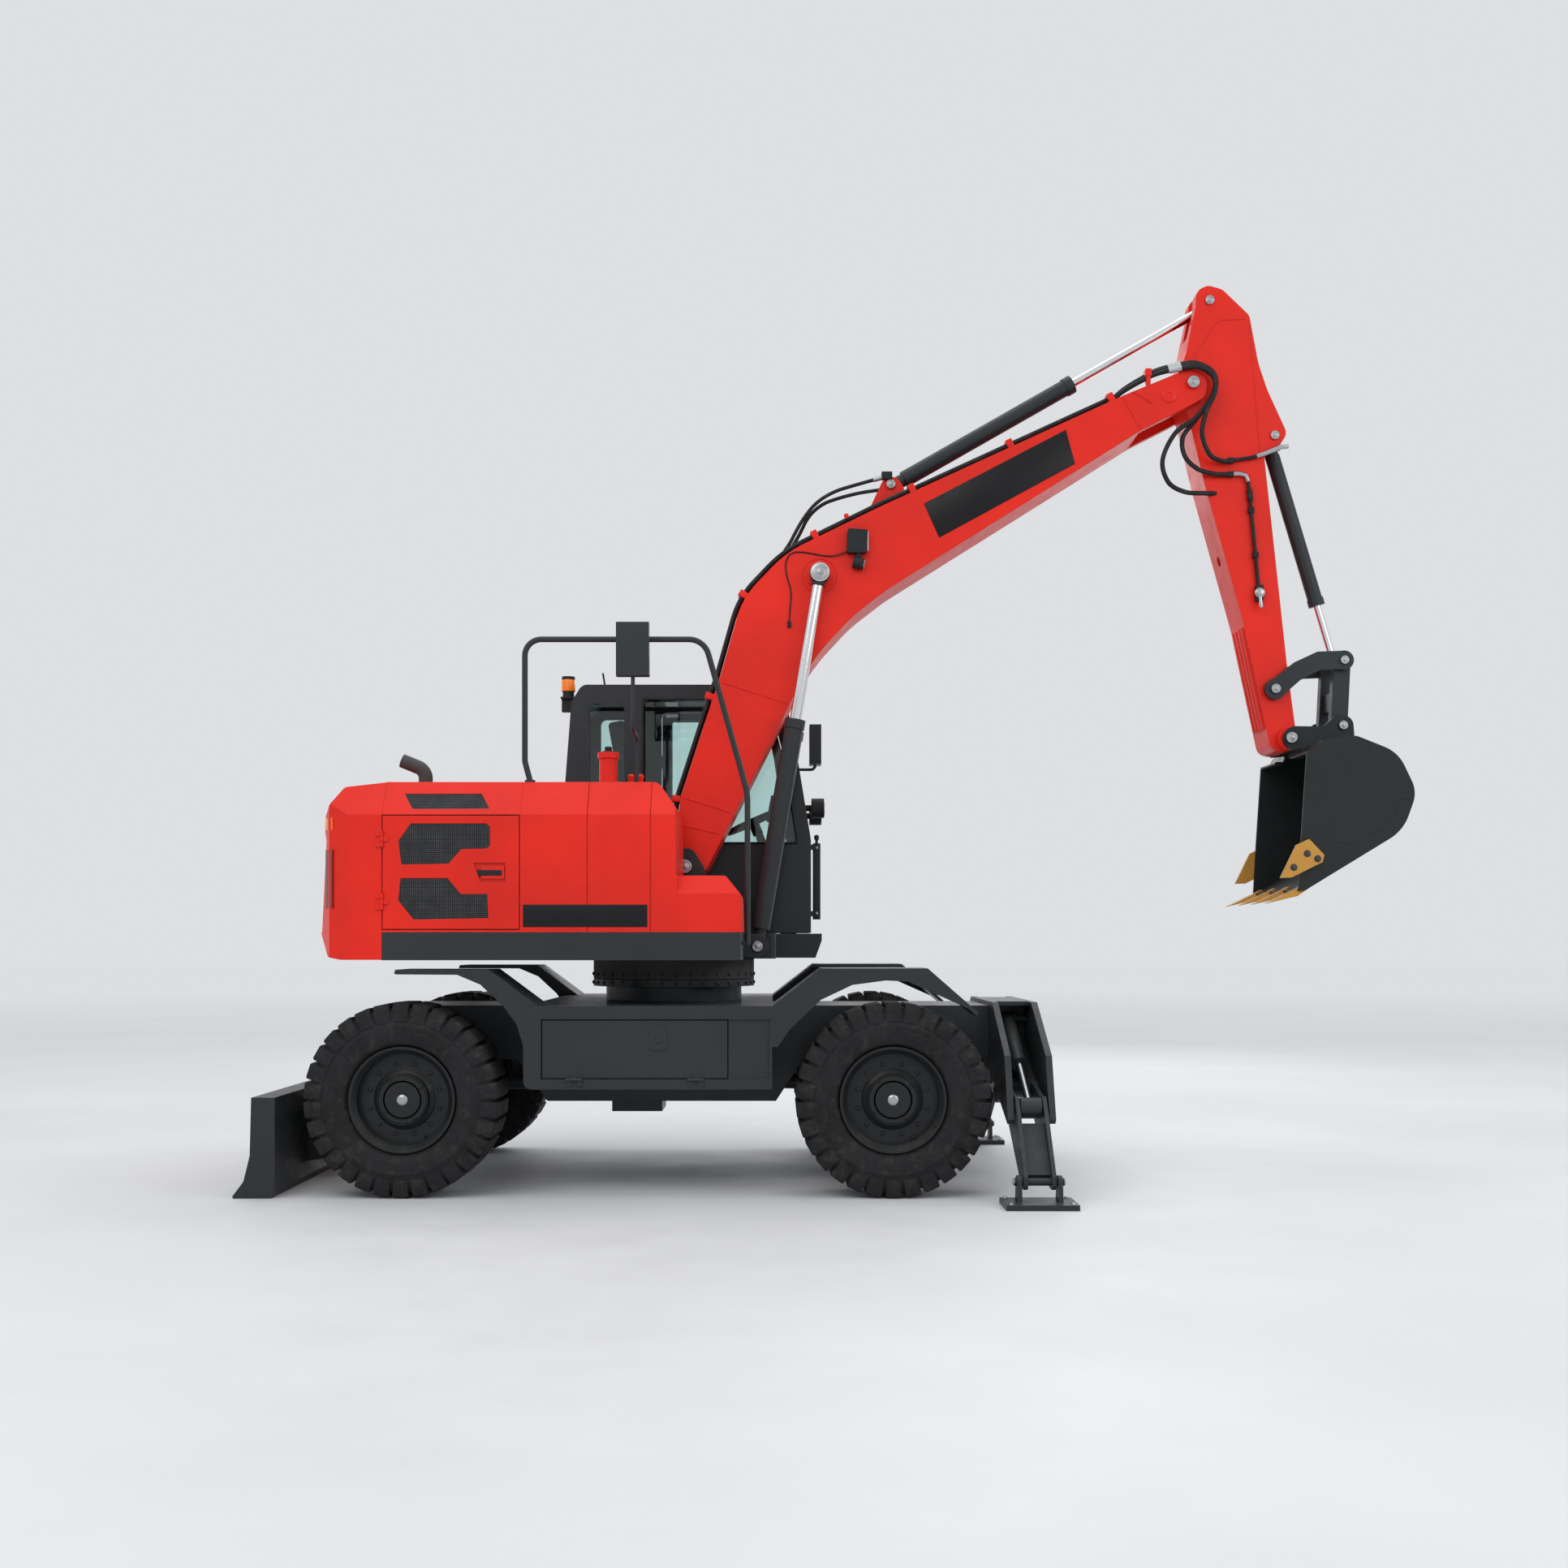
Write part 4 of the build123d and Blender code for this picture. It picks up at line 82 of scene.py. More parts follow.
class Finish:
    """A procedural material: colour variation, wear and a painted highlight on the edges, dust and a fine
    bump.
    """

    def __init__(self, name, roughness=0.5, metallic=0.0, coat=0.0):
        self.material = bpy.data.materials.new(name)
        self.material.use_nodes = True
        self.tree = self.material.node_tree
        self.shader = self.tree.nodes["Principled BSDF"]
        self.shader.inputs["Roughness"].default_value = roughness
        self.shader.inputs["Metallic"].default_value = metallic
        self.shader.inputs["Coat Weight"].default_value = coat
        self.shader.inputs["Coat Roughness"].default_value = COAT_ROUGHNESS
        self.shader.inputs["Specular IOR Level"].default_value = SPECULAR
        self.place = self.tree.nodes.new("ShaderNodeTexCoord").outputs["Object"]

    def node(self, kind, inputs=(), **settings):
        made = self.tree.nodes.new(kind)
        for key, value in settings.items():
            setattr(made, key, value)
        for key, value in dict(inputs).items():
            if hasattr(value, "is_output"):
                self.tree.links.new(value, made.inputs[key])
            else:
                made.inputs[key].default_value = value
        return made

    def feed(self, socket, value):
        self.tree.links.new(value, self.shader.inputs[socket])

    def noise(self, scale, detail=3.0, rough=0.55):
        rows = {"Vector": self.place, "Scale": scale, "Detail": detail, "Roughness": rough}
        return self.node("ShaderNodeTexNoise", rows).outputs["Fac"]

    def spread(self, value, low, high, to_low=0.0, to_high=1.0):
        rows = {"Value": value, "From Min": low, "From Max": high, "To Min": to_low, "To Max": to_high}
        return self.node("ShaderNodeMapRange", rows, clamp=True).outputs["Result"]

    def times(self, first, second, operation="MULTIPLY"):
        return self.node("ShaderNodeMath", {0: first, 1: second}, operation=operation).outputs[0]

    def mix(self, factor, first, second):
        made = self.node("ShaderNodeMix", data_type="RGBA")
        for key, value in ((0, factor), (6, first), (7, second)):
            if hasattr(value, "is_output"):
                self.tree.links.new(value, made.inputs[key])
            else:
                made.inputs[key].default_value = (*value, 1.0) if key else value
        return made.outputs[2]

    def rounded(self, radius):
        """The normal with the edges rounded off."""
        return self.node("ShaderNodeBevel", {"Radius": radius}, samples=4).outputs[0]

    def sharp(self, rounded):
        """A mask that is 1 where the rounded normal leaves the true one, on sharp edges."""
        true = self.node("ShaderNodeNewGeometry").outputs["True Normal"]
        dot = self.node("ShaderNodeVectorMath", {0: rounded, 1: true}, operation="DOT_PRODUCT")
        return self.spread(dot.outputs["Value"], 0.985, 0.80)

    def bump(self, height, strength, distance, normal=None):
        rows = {"Height": height, "Strength": strength, "Distance": distance}
        if normal is not None:
            rows["Normal"] = normal
        return self.node("ShaderNodeBump", rows).outputs["Normal"]


def shade(colour, factor):
    """A darker or lighter shade of a colour."""
    return tuple(min(1.0, part * factor) for part in colour)


def painted(name, colour, edge_and_patch_tone, roughness, coat=0.0, edge=0.006, dust=0.20, metallic=0.0, grain=260.0):
    """Paint or bare metal on steel plate. Its edge colour is wear, and where lighter than the paint, also a
    painted edge highlight.
    """
    made = Finish(name, roughness, metallic, coat)
    rounded = made.rounded(edge)
    sharp = made.sharp(rounded)
    tone = made.mix(made.spread(made.noise(1.7, 4.0), 0.3, 0.7), shade(colour, 0.86), shade(colour, 1.10))
    # The edge colour on sharp edges, broken into spots: wear, and where lighter than the paint, also a
    # painted edge highlight.
    edge_wear_and_highlight_spots = made.spread(made.noise(38.0, 6.0, 0.7), 0.50, 0.62)
    tone = made.mix(made.times(sharp, made.times(edge_wear_and_highlight_spots, 0.75)), tone, edge_and_patch_tone)
    up = made.node("ShaderNodeSeparateXYZ", {0: made.node("ShaderNodeNewGeometry").outputs["Normal"]})
    lying = made.spread(up.outputs["Z"], 0.2, 1.0, 0.0, dust)
    settled = made.times(lying, made.spread(made.noise(5.0, 8.0, 0.7), 0.30, 0.85))
    tone = made.mix(settled, tone, DUST)
    made.feed("Base Color", tone)
    rough = made.spread(made.noise(11.0, 5.0, 0.6), 0.3, 0.75, roughness * 0.82, roughness * 1.22)
    made.feed("Roughness", made.times(rough, made.times(settled, 0.6), "ADD"))
    made.feed("Normal", made.bump(made.noise(grain, 2.0), 0.10, 0.0006, rounded))
    return made.material


# The second colour of each is its edge colour: wear, and where lighter than the first, also a painted edge
# highlight.
PAINT = painted("red_paint", RED, (0.55, 0.10, 0.06), 0.42, coat=0.10, dust=0.06)
FRAME = painted("charcoal_paint", CHARCOAL, (0.10, 0.10, 0.10), 0.46, coat=0.1)
IRON_M = painted("cast_iron", IRON, (0.16, 0.15, 0.14), 0.62, grain=90.0)
BUCKET = painted("bucket_paint", (0.014, 0.017, 0.018), (0.07, 0.07, 0.07), 0.50, coat=0.05)
RIM = painted("rim_paint", RIM_BLACK, (0.06, 0.06, 0.06), 0.42, coat=0.15)
TOOTH = painted("worn_ochre", OCHRE, (0.16, 0.10, 0.05), 0.48, grain=70.0, edge=0.01)
DARK = painted("dark_plastic", PLASTIC, (0.03, 0.03, 0.03), 0.55, grain=900.0, dust=0.12)
STEEL_M = painted("bare_steel", STEEL, (0.65, 0.65, 0.66), 0.30, metallic=1.0, grain=500.0, dust=0.05)


def chrome():
    """Polished rod with fine wipe marks."""
    made = Finish("rod_chrome", 0.10, 1.0)
    tone = made.mix(made.spread(made.noise(3.0), 0.3, 0.7), shade(CHROME, 0.93), CHROME)
    made.feed("Base Color", tone)
    made.feed("Roughness", made.spread(made.noise(60.0, 5.0), 0.3, 0.7, 0.07, 0.16))
    made.feed("Normal", made.bump(made.noise(800.0), 0.04, 0.0002))
    return made.material


def rubber(name, colour, roughness=0.78):
    """Dull rubber with dust in patches."""
    made = Finish(name, roughness)
    tone = made.mix(made.spread(made.noise(5.0, 5.0), 0.35, 0.7), shade(colour, 0.8), shade(colour, 1.5))
    dusty = made.spread(made.noise(16.0, 7.0, 0.7), 0.52, 0.75, 0.0, 0.28)
    made.feed("Base Color", made.mix(dusty, tone, TYRE_DUST))
    made.feed("Roughness", made.spread(made.noise(24.0, 4.0), 0.3, 0.7, roughness - 0.12, roughness + 0.1))
    made.feed("Normal", made.bump(made.noise(330.0, 4.0), 0.25, 0.0008, made.rounded(0.004)))
    return made.material


def glass():
    """Green-tinted cab glass."""
    made = Finish("tinted_glass", 0.0)
    made.shader.inputs["Base Color"].default_value = (*GLASS, 1.0)
    made.shader.inputs["Transmission Weight"].default_value = 1.0
    made.shader.inputs["IOR"].default_value = 1.45
    made.feed("Roughness", made.spread(made.noise(9.0, 4.0), 0.45, 0.8, 0.0, 0.06))
    made.feed("Normal", made.bump(made.noise(1.1, 1.0), 0.02, 0.002))
    return made.material


CHROME_M = chrome()
TYRE = rubber("tyre_rubber", RUBBER)
HOSE = rubber("hose_rubber", (0.010, 0.010, 0.011), 0.5)
GLASS_M = glass()

FINISHES = {
    "body_paint": PAINT,
    "frame_paint": FRAME,
    "tyre_rubber": TYRE,
    "rim_paint": RIM,
    "rod_chrome": CHROME_M,
    "glass_tint": GLASS_M,
    "plastic_dark": DARK,
    "tooth_paint": TOOTH,
    "steel_dark": IRON_M,
    "iron": IRON_M,
    "hose_rubber": HOSE,
}

OWN_FINISH = {"bucket": BUCKET}

for part in frame["record"]["subparts"]:
    name = part["node"]
    for place in NODES[name].material_slots:
        place.material = OWN_FINISH.get(name, FINISHES[part["material_slot"]])

# ---------------------------------------------------------------- making small pieces

SHARP = math.radians(35)  # a crease in small pieces
TYRE_SHARP = math.radians(28)  # a crease in a tyre


def ring_turns(steps):
    """The angles of equal steps round a circle."""
    return [2 * math.pi * step / steps for step in range(steps)]


def show(obj, material, body):
    """Gives a finished piece its material and, unless body is None, lets it move with a body."""
    obj.data.materials.append(material)
    bpy.context.scene.collection.objects.link(obj)
    if body is not None:
        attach(obj, body)
    return obj


class Heap:
    """Small solids gathered into one mesh. Lengths are millimetres from the slew axis."""

    def __init__(self):
        self.mesh = bmesh.new()

    def point(self, place):
        return self.mesh.verts.new(at(*place))

    def rings(self, rings):
        """A closed skin over rings of points, each with as many points as the next."""
        made = [[self.point(place) for place in ring] for ring in rings]
        for first, second in zip(made, made[1:]):
            for index, corner in enumerate(first):
                after = (index + 1) % len(first)
                self.mesh.faces.new((corner, first[after], second[after], second[index]))
        self.mesh.faces.new(list(reversed(made[0])))
        self.mesh.faces.new(made[-1])

    def lathe(self, centre, axis, rows, sides):
        """A turned solid: rows of (distance along the axis, radius)."""
        centre, axis = Vector(centre), Vector(axis).normalized()
        across = axis.orthogonal().normalized()
        third = axis.cross(across)
        rings = []
        for distance, radius in rows:
            spokes = [across * math.cos(turn) + third * math.sin(turn) for turn in ring_turns(sides)]
            rings.append([centre + axis * distance + spoke * radius for spoke in spokes])
        self.rings(rings)

    def slab(self, outline, depth):
        """A prism from an outline of 3-D points and a depth vector."""
        depth = Vector(depth)
        self.rings([[Vector(place) for place in outline], [Vector(place) + depth for place in outline]])

    def box(self, x, y, z):
        """A block between the two ends given for each axis."""
        corners = [(x[0], y[0], z[0]), (x[1], y[0], z[0]), (x[1], y[1], z[0]), (x[0], y[1], z[0])]
        self.slab(corners, (0, 0, z[1] - z[0]))

    def bolt(self, centre, axis, radius, height=None):
        """A hexagon head on its washer."""
        tall = radius * 0.7 if height is None else height
        self.lathe(centre, axis, [(0, radius * 1.35), (radius * 0.18, radius * 1.35)], 20)
        rows = [(radius * 0.18, radius), (tall, radius), (tall + radius * 0.1, radius * 0.82)]
        self.lathe(centre, axis, rows, 6)

    def cap(self, centre, axis, radius):
        """The end of a pin: a disc with turned rings and a middle bolt."""
        rows = [(-2, radius), (3, radius), (5, radius * 0.94), (5, radius * 0.74), (3, radius * 0.70)]
        rows += [(3, radius * 0.62), (5, radius * 0.58)]
        rows += [(5, radius * 0.34), (9, radius * 0.32), (10, radius * 0.24)]
        self.lathe(centre, axis, rows, 40)

    def pipe(self, points, radius, sides=12):
        """A round bar through points, without rounding its corners."""
        points = [Vector(place) for place in points]
        rings, side = [], None
        for index, place in enumerate(points):
            way = (points[min(index + 1, len(points) - 1)] - points[max(index - 1, 0)]).normalized()
            side = (way.orthogonal() if side is None else side - way * side.dot(way)).normalized()
            up = way.cross(side)
            spokes = [side * math.cos(turn) + up * math.sin(turn) for turn in ring_turns(sides)]
            rings.append([place + spoke * radius for spoke in spokes])
        self.rings(rings)

    def make(self, name, material, body, bevel=0.0):
        """Turns the heap into a shown piece, with its creases bevelled by some millimetres if asked."""
        bmesh.ops.recalc_face_normals(self.mesh, faces=self.mesh.faces)
        if bevel:
            joined = [edge for edge in self.mesh.edges if len(edge.link_faces) == 2]
            creases = [edge for edge in joined if edge.calc_face_angle(0) > SHARP]
            settings = {"segments": 2, "affect": "EDGES", "profile": 0.6}
            bmesh.ops.bevel(self.mesh, geom=creases, offset=bevel / 1000, **settings)
        for face in self.mesh.faces:
            face.smooth = True
        for edge in self.mesh.edges:
            edge.smooth = len(edge.link_faces) == 2 and edge.calc_face_angle(0) < SHARP
        data = bpy.data.meshes.new(name)
        self.mesh.to_mesh(data)
        self.mesh.free()
        return show(bpy.data.objects.new(name, data), material, body)


def hose(name, points, radius, material, body):
    """A smooth round hose along its route's points."""
    data = bpy.data.curves.new(name, "CURVE")
    data.dimensions = "3D"
    data.bevel_depth = radius / 1000
    data.bevel_resolution = 4
    data.resolution_u = 12
    data.use_fill_caps = True
    line = data.splines.new("NURBS")
    line.points.add(len(points) - 1)
    for spot, place in zip(line.points, points):
        spot.co = (*at(*place), 1.0)
    line.order_u = 3
    line.use_endpoint_u = True
    return show(bpy.data.objects.new(name, data), material, body)


def smooth_path(points, cuts=10):
    """Points along a Catmull-Rom line through the given ones."""
    spots = [Vector(place) for place in points]
    spots = [2 * spots[0] - spots[1]] + spots + [2 * spots[-1] - spots[-2]]
    made = []
    for a, b, c, d in zip(spots, spots[1:], spots[2:], spots[3:]):
        for cut in range(cuts):
            t = cut / cuts
            square, cube = 2 * a - 5 * b + 4 * c - d, 3 * b - a - 3 * c + d
            made.append(0.5 * (2 * b + (c - a) * t + square * t ** 2 + cube * t ** 3))
    return made + [spots[-2]]


# ---------------------------------------------------------------- tyres

TYRE_R, WHEEL_Y = 530.0, 1040.0
AXLES = {"rear": -1408.0, "front": 1255.0}
LUGS = 30
PITCH = 2 * math.pi / LUGS
# The wall's section: (distance from the middle plane, distance from the axle)
WALL = [
    (150, 292), (158, 297), (176, 301), (188, 307), (197, 320), (204, 345), (208, 372), (209.5, 392),
    (211.5, 398), (211.5, 404), (208.5, 408), (206, 424), (203, 440), (198, 462), (190, 484), (178, 498),
    (160, 502),
]
# Lug stations: (distance from the middle plane, radius at the top, radius at the root)
LUG_STATIONS = [
    (2, 522, 499), (8, 530, 499), (120, 530, 499), (184, 529, 497), (196, 519, 488), (204, 498, 468),
    (208.5, 470, 444), (210, 442, 430),
]
LUG_TOP, LUG_ROOT = 0.36 * PITCH, 0.42 * PITCH  # half of a lug's width, as turns round the axle
LUG_EDGE_TURN, LUG_EDGE_DROP = 0.008, 5  # the slope along a lug's edges
WALL_STEPS = 8  # steps of the wall for each lug


def round_axle(turn, y, reach):
    """A point of the tyre, in metres, from millimetres."""
    return (reach * math.cos(turn) / 1000, y / 1000, reach * math.sin(turn) / 1000)


def tyre_mesh():
    """A tyre about its own middle: a closed wall and two rows of straight lugs."""
    heap = bmesh.new()
    rows = WALL + [(-y, reach) for y, reach in reversed(WALL)]
    rings = []
    for turn in ring_turns(LUGS * WALL_STEPS):
        rings.append([heap.verts.new(round_axle(turn, y, reach)) for y, reach in rows])
    for first, second in zip(rings, rings[1:] + rings[:1]):
        for index in range(len(rows) - 1):
            heap.faces.new((first[index], first[index + 1], second[index + 1], second[index]))
        heap.faces.new((first[-1], first[0], second[0], second[-1]))
    for side in SIDES:
        for lug in range(LUGS):
            middle = lug * PITCH - math.pi / 2
            sections = []
            for y, top, root in LUG_STATIONS:
                corners = (
                    (-LUG_ROOT, root),
                    (-LUG_TOP - LUG_EDGE_TURN, top - LUG_EDGE_DROP),
                    (-LUG_TOP + LUG_EDGE_TURN, top),
                )
                corners += tuple((-turn, reach) for turn, reach in reversed(corners))
                places = [round_axle(middle + turn, side * y, reach) for turn, reach in corners]
                sections.append([heap.verts.new(place) for place in places])
            for first, second in zip(sections, sections[1:]):
                for index in range(len(first) - 1):
                    heap.faces.new((first[index], first[index + 1], second[index + 1], second[index]))
            heap.faces.new(sections[0])
            heap.faces.new(sections[-1])
    bmesh.ops.recalc_face_normals(heap, faces=heap.faces)
    for face in heap.faces:
        face.smooth = True
    for edge in heap.edges:
        edge.smooth = len(edge.link_faces) == 2 and edge.calc_face_angle(0) < TYRE_SHARP
    data = bpy.data.meshes.new("tyre")
    heap.to_mesh(data)
    heap.free()
    data.materials.append(TYRE)
    return data


HUB_FACE = WHEEL_Y + 152
RIM_FACE = WHEEL_Y + 78
HUB_RINGS = ((104, 110), (132, 138))  # (inner, outer) radius
HUB_BOLTS_R, RIM_NUTS_R, VALVE_R = 118, 196, 236


def on_wheel(axle_x, y, degrees, reach):
    """A point on a wheel's face, at an angle and a distance from its axle."""
    turn = math.radians(degrees)
    return (axle_x + reach * math.cos(turn), y, TYRE_R + reach * math.sin(turn))


tyre_data = tyre_mesh()
for end, axle_x in AXLES.items():
    for hand, side in HANDS:
        body = f"wheel_{end}_{hand}"
        tyre = bpy.data.objects.new(f"tread_{end}_{hand}", tyre_data)
        tyre.matrix_world = Matrix.Translation(at(axle_x, side * WHEEL_Y, TYRE_R))
        if side > 0:
            tyre.matrix_world = tyre.matrix_world @ Matrix.Rotation(math.pi, 4, "Z")
        bpy.context.scene.collection.objects.link(tyre)
        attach(tyre, f"wheel_{end}_{hand}")
        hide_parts(f"tyre_{end}_{hand}")
        out, hub_face, rim_face = (0, side, 0), side * HUB_FACE, side * RIM_FACE
        hub = Heap()
        hub.lathe((axle_x, hub_face, TYRE_R), out, [(-3, 30), (4, 30), (9, 24), (11, 10)], 28)
        hub.make(f"hub_cap_{end}_{hand}", STEEL_M, body)
        ring = Heap()
        for inner, outer in HUB_RINGS:
            rows = [(-2, inner), (2.5, inner + 1), (2.5, outer - 1), (-2, outer)]
            ring.lathe((axle_x, hub_face, TYRE_R), out, rows, 64)
        ring.make(f"hub_rings_{end}_{hand}", RIM, body)
        nuts = Heap()
        for degrees in range(35, 395, 90):
            nuts.bolt(on_wheel(axle_x, hub_face, degrees, HUB_BOLTS_R), out, 8)
        for degrees in range(15, 375, 30):
            nuts.bolt(on_wheel(axle_x, rim_face, degrees, RIM_NUTS_R), out, 11)
        nuts.lathe(on_wheel(axle_x, rim_face, -62, VALVE_R), out, [(-6, 7), (26, 7), (30, 5), (46, 5)], 14)
        nuts.make(f"wheel_nuts_{end}_{hand}", RIM, body)

# ---------------------------------------------------------------- pins

# (body, x, z, distance of the face from the middle plane, radius)
PINS = [
    ("upper", 80, 1835, 281, 40), ("upper", 511, 1361, 374, 31), ("boom_rods", 880, 3571, 342, 50),
    ("boom", 1314, 4153, 92, 27), ("boom", 3108, 4725, 237, 36), ("stick", 3224, 5240, 158, 27),
    ("stick", 3614, 4429, 160, 26), ("rocker", 3609, 2902, 201, 28), ("rocker", 4020, 3074, 201, 25),
    ("bucket", 4001, 2679, 238, 26), ("bucket", 3693, 2605, 238, 33), ("blade", -1690, 560, 380, 33),
]
for number, (body, x, z, face, radius) in enumerate(PINS):
    caps = Heap()
    for side in SIDES:
        caps.cap((x, side * face, z), (0, side, 0), radius)
    caps.make(f"pin_caps_{number:02d}", STEEL_M, body)
# Pins of the stabiliser legs: (distance from the middle plane, z)
LEG_ROOT, LEG_EYE, LEG_FOOT = (700, 560), (1200, 487), (1525, 130)
ROOT_FACES, FOOT_FACES = ((1856, -1), (2140, 1)), ((1867, -1), (2129, 1))  # (x, way it looks along x)
for hand, side in HANDS:
    caps = Heap()
    for face, way in ROOT_FACES:
        caps.cap((face, side * LEG_ROOT[0], LEG_ROOT[1]), (way, 0, 0), 29)
    caps.make(f"leg_root_caps_{hand}", STEEL_M, "chassis")
    caps = Heap()
    for face, way in FOOT_FACES:
        caps.cap((face, side * LEG_FOOT[0], LEG_FOOT[1]), (way, 0, 0), 18)
    caps.make(f"leg_foot_caps_{hand}", STEEL_M, f"leg_{hand}")


# ---------------------------------------------------------------- finishes of the small pieces

PLATE = painted("plate_black", (0.006, 0.006, 0.007), (0.03, 0.03, 0.03), 0.40, dust=0.05, grain=400.0)


def lens(name, colour, metallic=0.0):
    """Moulded ribs over a reflector."""
    made = Finish(name, 0.12, metallic, 0.5)
    tone = made.mix(made.spread(made.noise(45.0, 3.0), 0.35, 0.7), shade(colour, 0.78), shade(colour, 1.12))
    made.feed("Base Color", tone)
    made.feed("Roughness", made.spread(made.noise(30.0, 4.0), 0.3, 0.75, 0.08, 0.2))
    rows = {"Vector": made.place, "Scale": 40.0}
    ribs = made.node("ShaderNodeTexWave", rows, bands_direction="Z").outputs[1]
    made.feed("Normal", made.bump(ribs, 0.3, 0.0010))
    return made.material


def punched_sheet():
    """Dark sheet with rows of small holes, painted near-black as painted shade of the space behind them."""
    made = Finish("punched_sheet", 0.5)
    split = made.node("ShaderNodeSeparateXYZ", {0: made.place})
    flat = made.node("ShaderNodeCombineXYZ", {0: split.outputs["X"], 1: split.outputs["Z"]})
    rows = {"Vector": flat.outputs[0], "Scale": 85.0, "Randomness": 0.0}
    cells = made.node("ShaderNodeTexVoronoi", rows, voronoi_dimensions="2D").outputs["Distance"]
    solid = made.spread(cells, 0.32, 0.42)
    patches = made.spread(made.noise(14.0, 5.0), 0.35, 0.7)
    edge_and_patch_tone = made.mix(patches, (0.030, 0.032, 0.035), (0.055, 0.056, 0.058))
    # The holes are near-black: painted shade of the dark space behind the sheet.
    made.feed("Base Color", made.mix(solid, (0.0015, 0.0015, 0.0015), edge_and_patch_tone))
    made.feed("Roughness", made.spread(made.noise(50.0, 3.0), 0.3, 0.7, 0.42, 0.6))
    made.feed("Normal", made.bump(solid, 0.5, 0.0015))
    return made.material


def cloth():
    """Woven seat cover."""
    made = Finish("seat_cloth", 0.86)
    weave = made.node("ShaderNodeTexVoronoi", {"Vector": made.place, "Scale": 420.0}).outputs["Distance"]
    tone = made.mix(made.spread(made.noise(9.0, 5.0), 0.3, 0.7), (0.010, 0.011, 0.012), (0.032, 0.033, 0.036))
    made.feed("Base Color", made.mix(made.spread(weave, 0.1, 0.6, 0.0, 0.3), tone, (0.05, 0.05, 0.055)))
    made.feed("Roughness", made.spread(made.noise(40.0, 3.0), 0.3, 0.7, 0.78, 0.94))
    made.feed("Normal", made.bump(weave, 0.4, 0.0008))
    return made.material


def mirror():
    """Silvered mirror glass."""
    made = Finish("mirror_face", 0.03, 1.0)
    patches = made.spread(made.noise(6.0), 0.3, 0.7)
    made.feed("Base Color", made.mix(patches, (0.70, 0.73, 0.75), (0.80, 0.82, 0.83)))
    made.feed("Roughness", made.spread(made.noise(22.0, 5.0), 0.4, 0.8, 0.02, 0.10))
    made.feed("Normal", made.bump(made.noise(3.0), 0.02, 0.001))
    return made.material


AMBER = lens("amber_lens", (0.95, 0.22, 0.006))
RUBY = lens("red_lens", (0.16, 0.004, 0.004))
CLEAR = lens("lamp_glass", (0.62, 0.65, 0.68), 0.75)
SHEET = punched_sheet()
CLOTH = cloth()
MIRROR = mirror()


def meet(node, start, way):
    """Where a line from a point first meets a CAD node, in millimetres, and the surface's normal there."""
    found, spot, normal, _ = NODES[node].ray_cast(at(*start), Vector(way))
    if not found:
        raise ValueError(f"{node} isn't met from {start}")
    return Vector(((spot.x - ORIGIN_X) * 1000, spot.y * 1000, spot.z * 1000)), normal


bpy.context.view_layer.update()

# ---------------------------------------------------------------- plates, grilles and lamps

BOOM_SIDE, STICK_SIDE, BUCKET_SIDE = 215, 150, 500  # their side faces, from the middle plane
BOOM_PLATE = ((1503, 4003), (2350, 4444), (2405, 4241), (1594, 3800))  # (x, z)
plates = Heap()
for side in SIDES:
    plates.slab([(x, side * (BOOM_SIDE - 0.5), z) for x, z in BOOM_PLATE], (0, side * 3, 0))
plates.make("boom_plates", PLATE, "boom", 0.8)
plates = Heap()
plates.box((-749, -77), (-1223, -1219.5), (1468, 1589))
plates.make("hood_plate", PLATE, "upper", 0.8)

DOOR_SIDE = 1216.2
DOOR_GRILLES = (  # (x, z)
    (
        (-1356, 2028), (-946, 2028), (-928, 2010), (-928, 1907), (-946, 1893), (-1082, 1890), (-1152, 1811),
        (-1407, 1806), (-1423, 1934),
    ),
    ((-1411, 1732), (-1157, 1732), (-1086, 1646), (-942, 1646), (-937, 1517), (-1341, 1508), (-1424, 1611)),
)
SHOULDER_EDGE = (1220, 2076)  # (distance from the middle plane, z) at the foot of the sloped shoulder
SHOULDER_GRILLE = ((-1407, 150), (-986, 150), (-935, 42), (-1350, 40))  # (x, way up the slope)
SLOPE = Vector((0, 140, 189)).normalized()
for hand, side in HANDS:
    sheets = Heap()
    for outline in DOOR_GRILLES:
        sheets.slab([(x, side * DOOR_SIDE, z) for x, z in outline], (0, side * 1.5, 0))
    sheets.make(f"door_mesh_{hand}", SHEET, f"side_door_{hand}")
    sheets = Heap()
    out = Vector((0, side * SLOPE.z, SLOPE.y))
    outline = []
    for x, rise in SHOULDER_GRILLE:
        reach, z = SHOULDER_EDGE[0] - rise * SLOPE.y, SHOULDER_EDGE[1] + rise * SLOPE.z
        outline.append(Vector((x, side * reach, z)) - out * 3.6)
    sheets.slab(outline, out * 1.6)
    sheets.make(f"shoulder_mesh_{hand}", SHEET, "upper")
    handle = Heap()
    handle.box((-1000, -862), sorted((side * 1206, side * 1219)), (1744, 1778))
    handle.make(f"door_handle_{hand}", DARK, f"side_door_{hand}", 5)

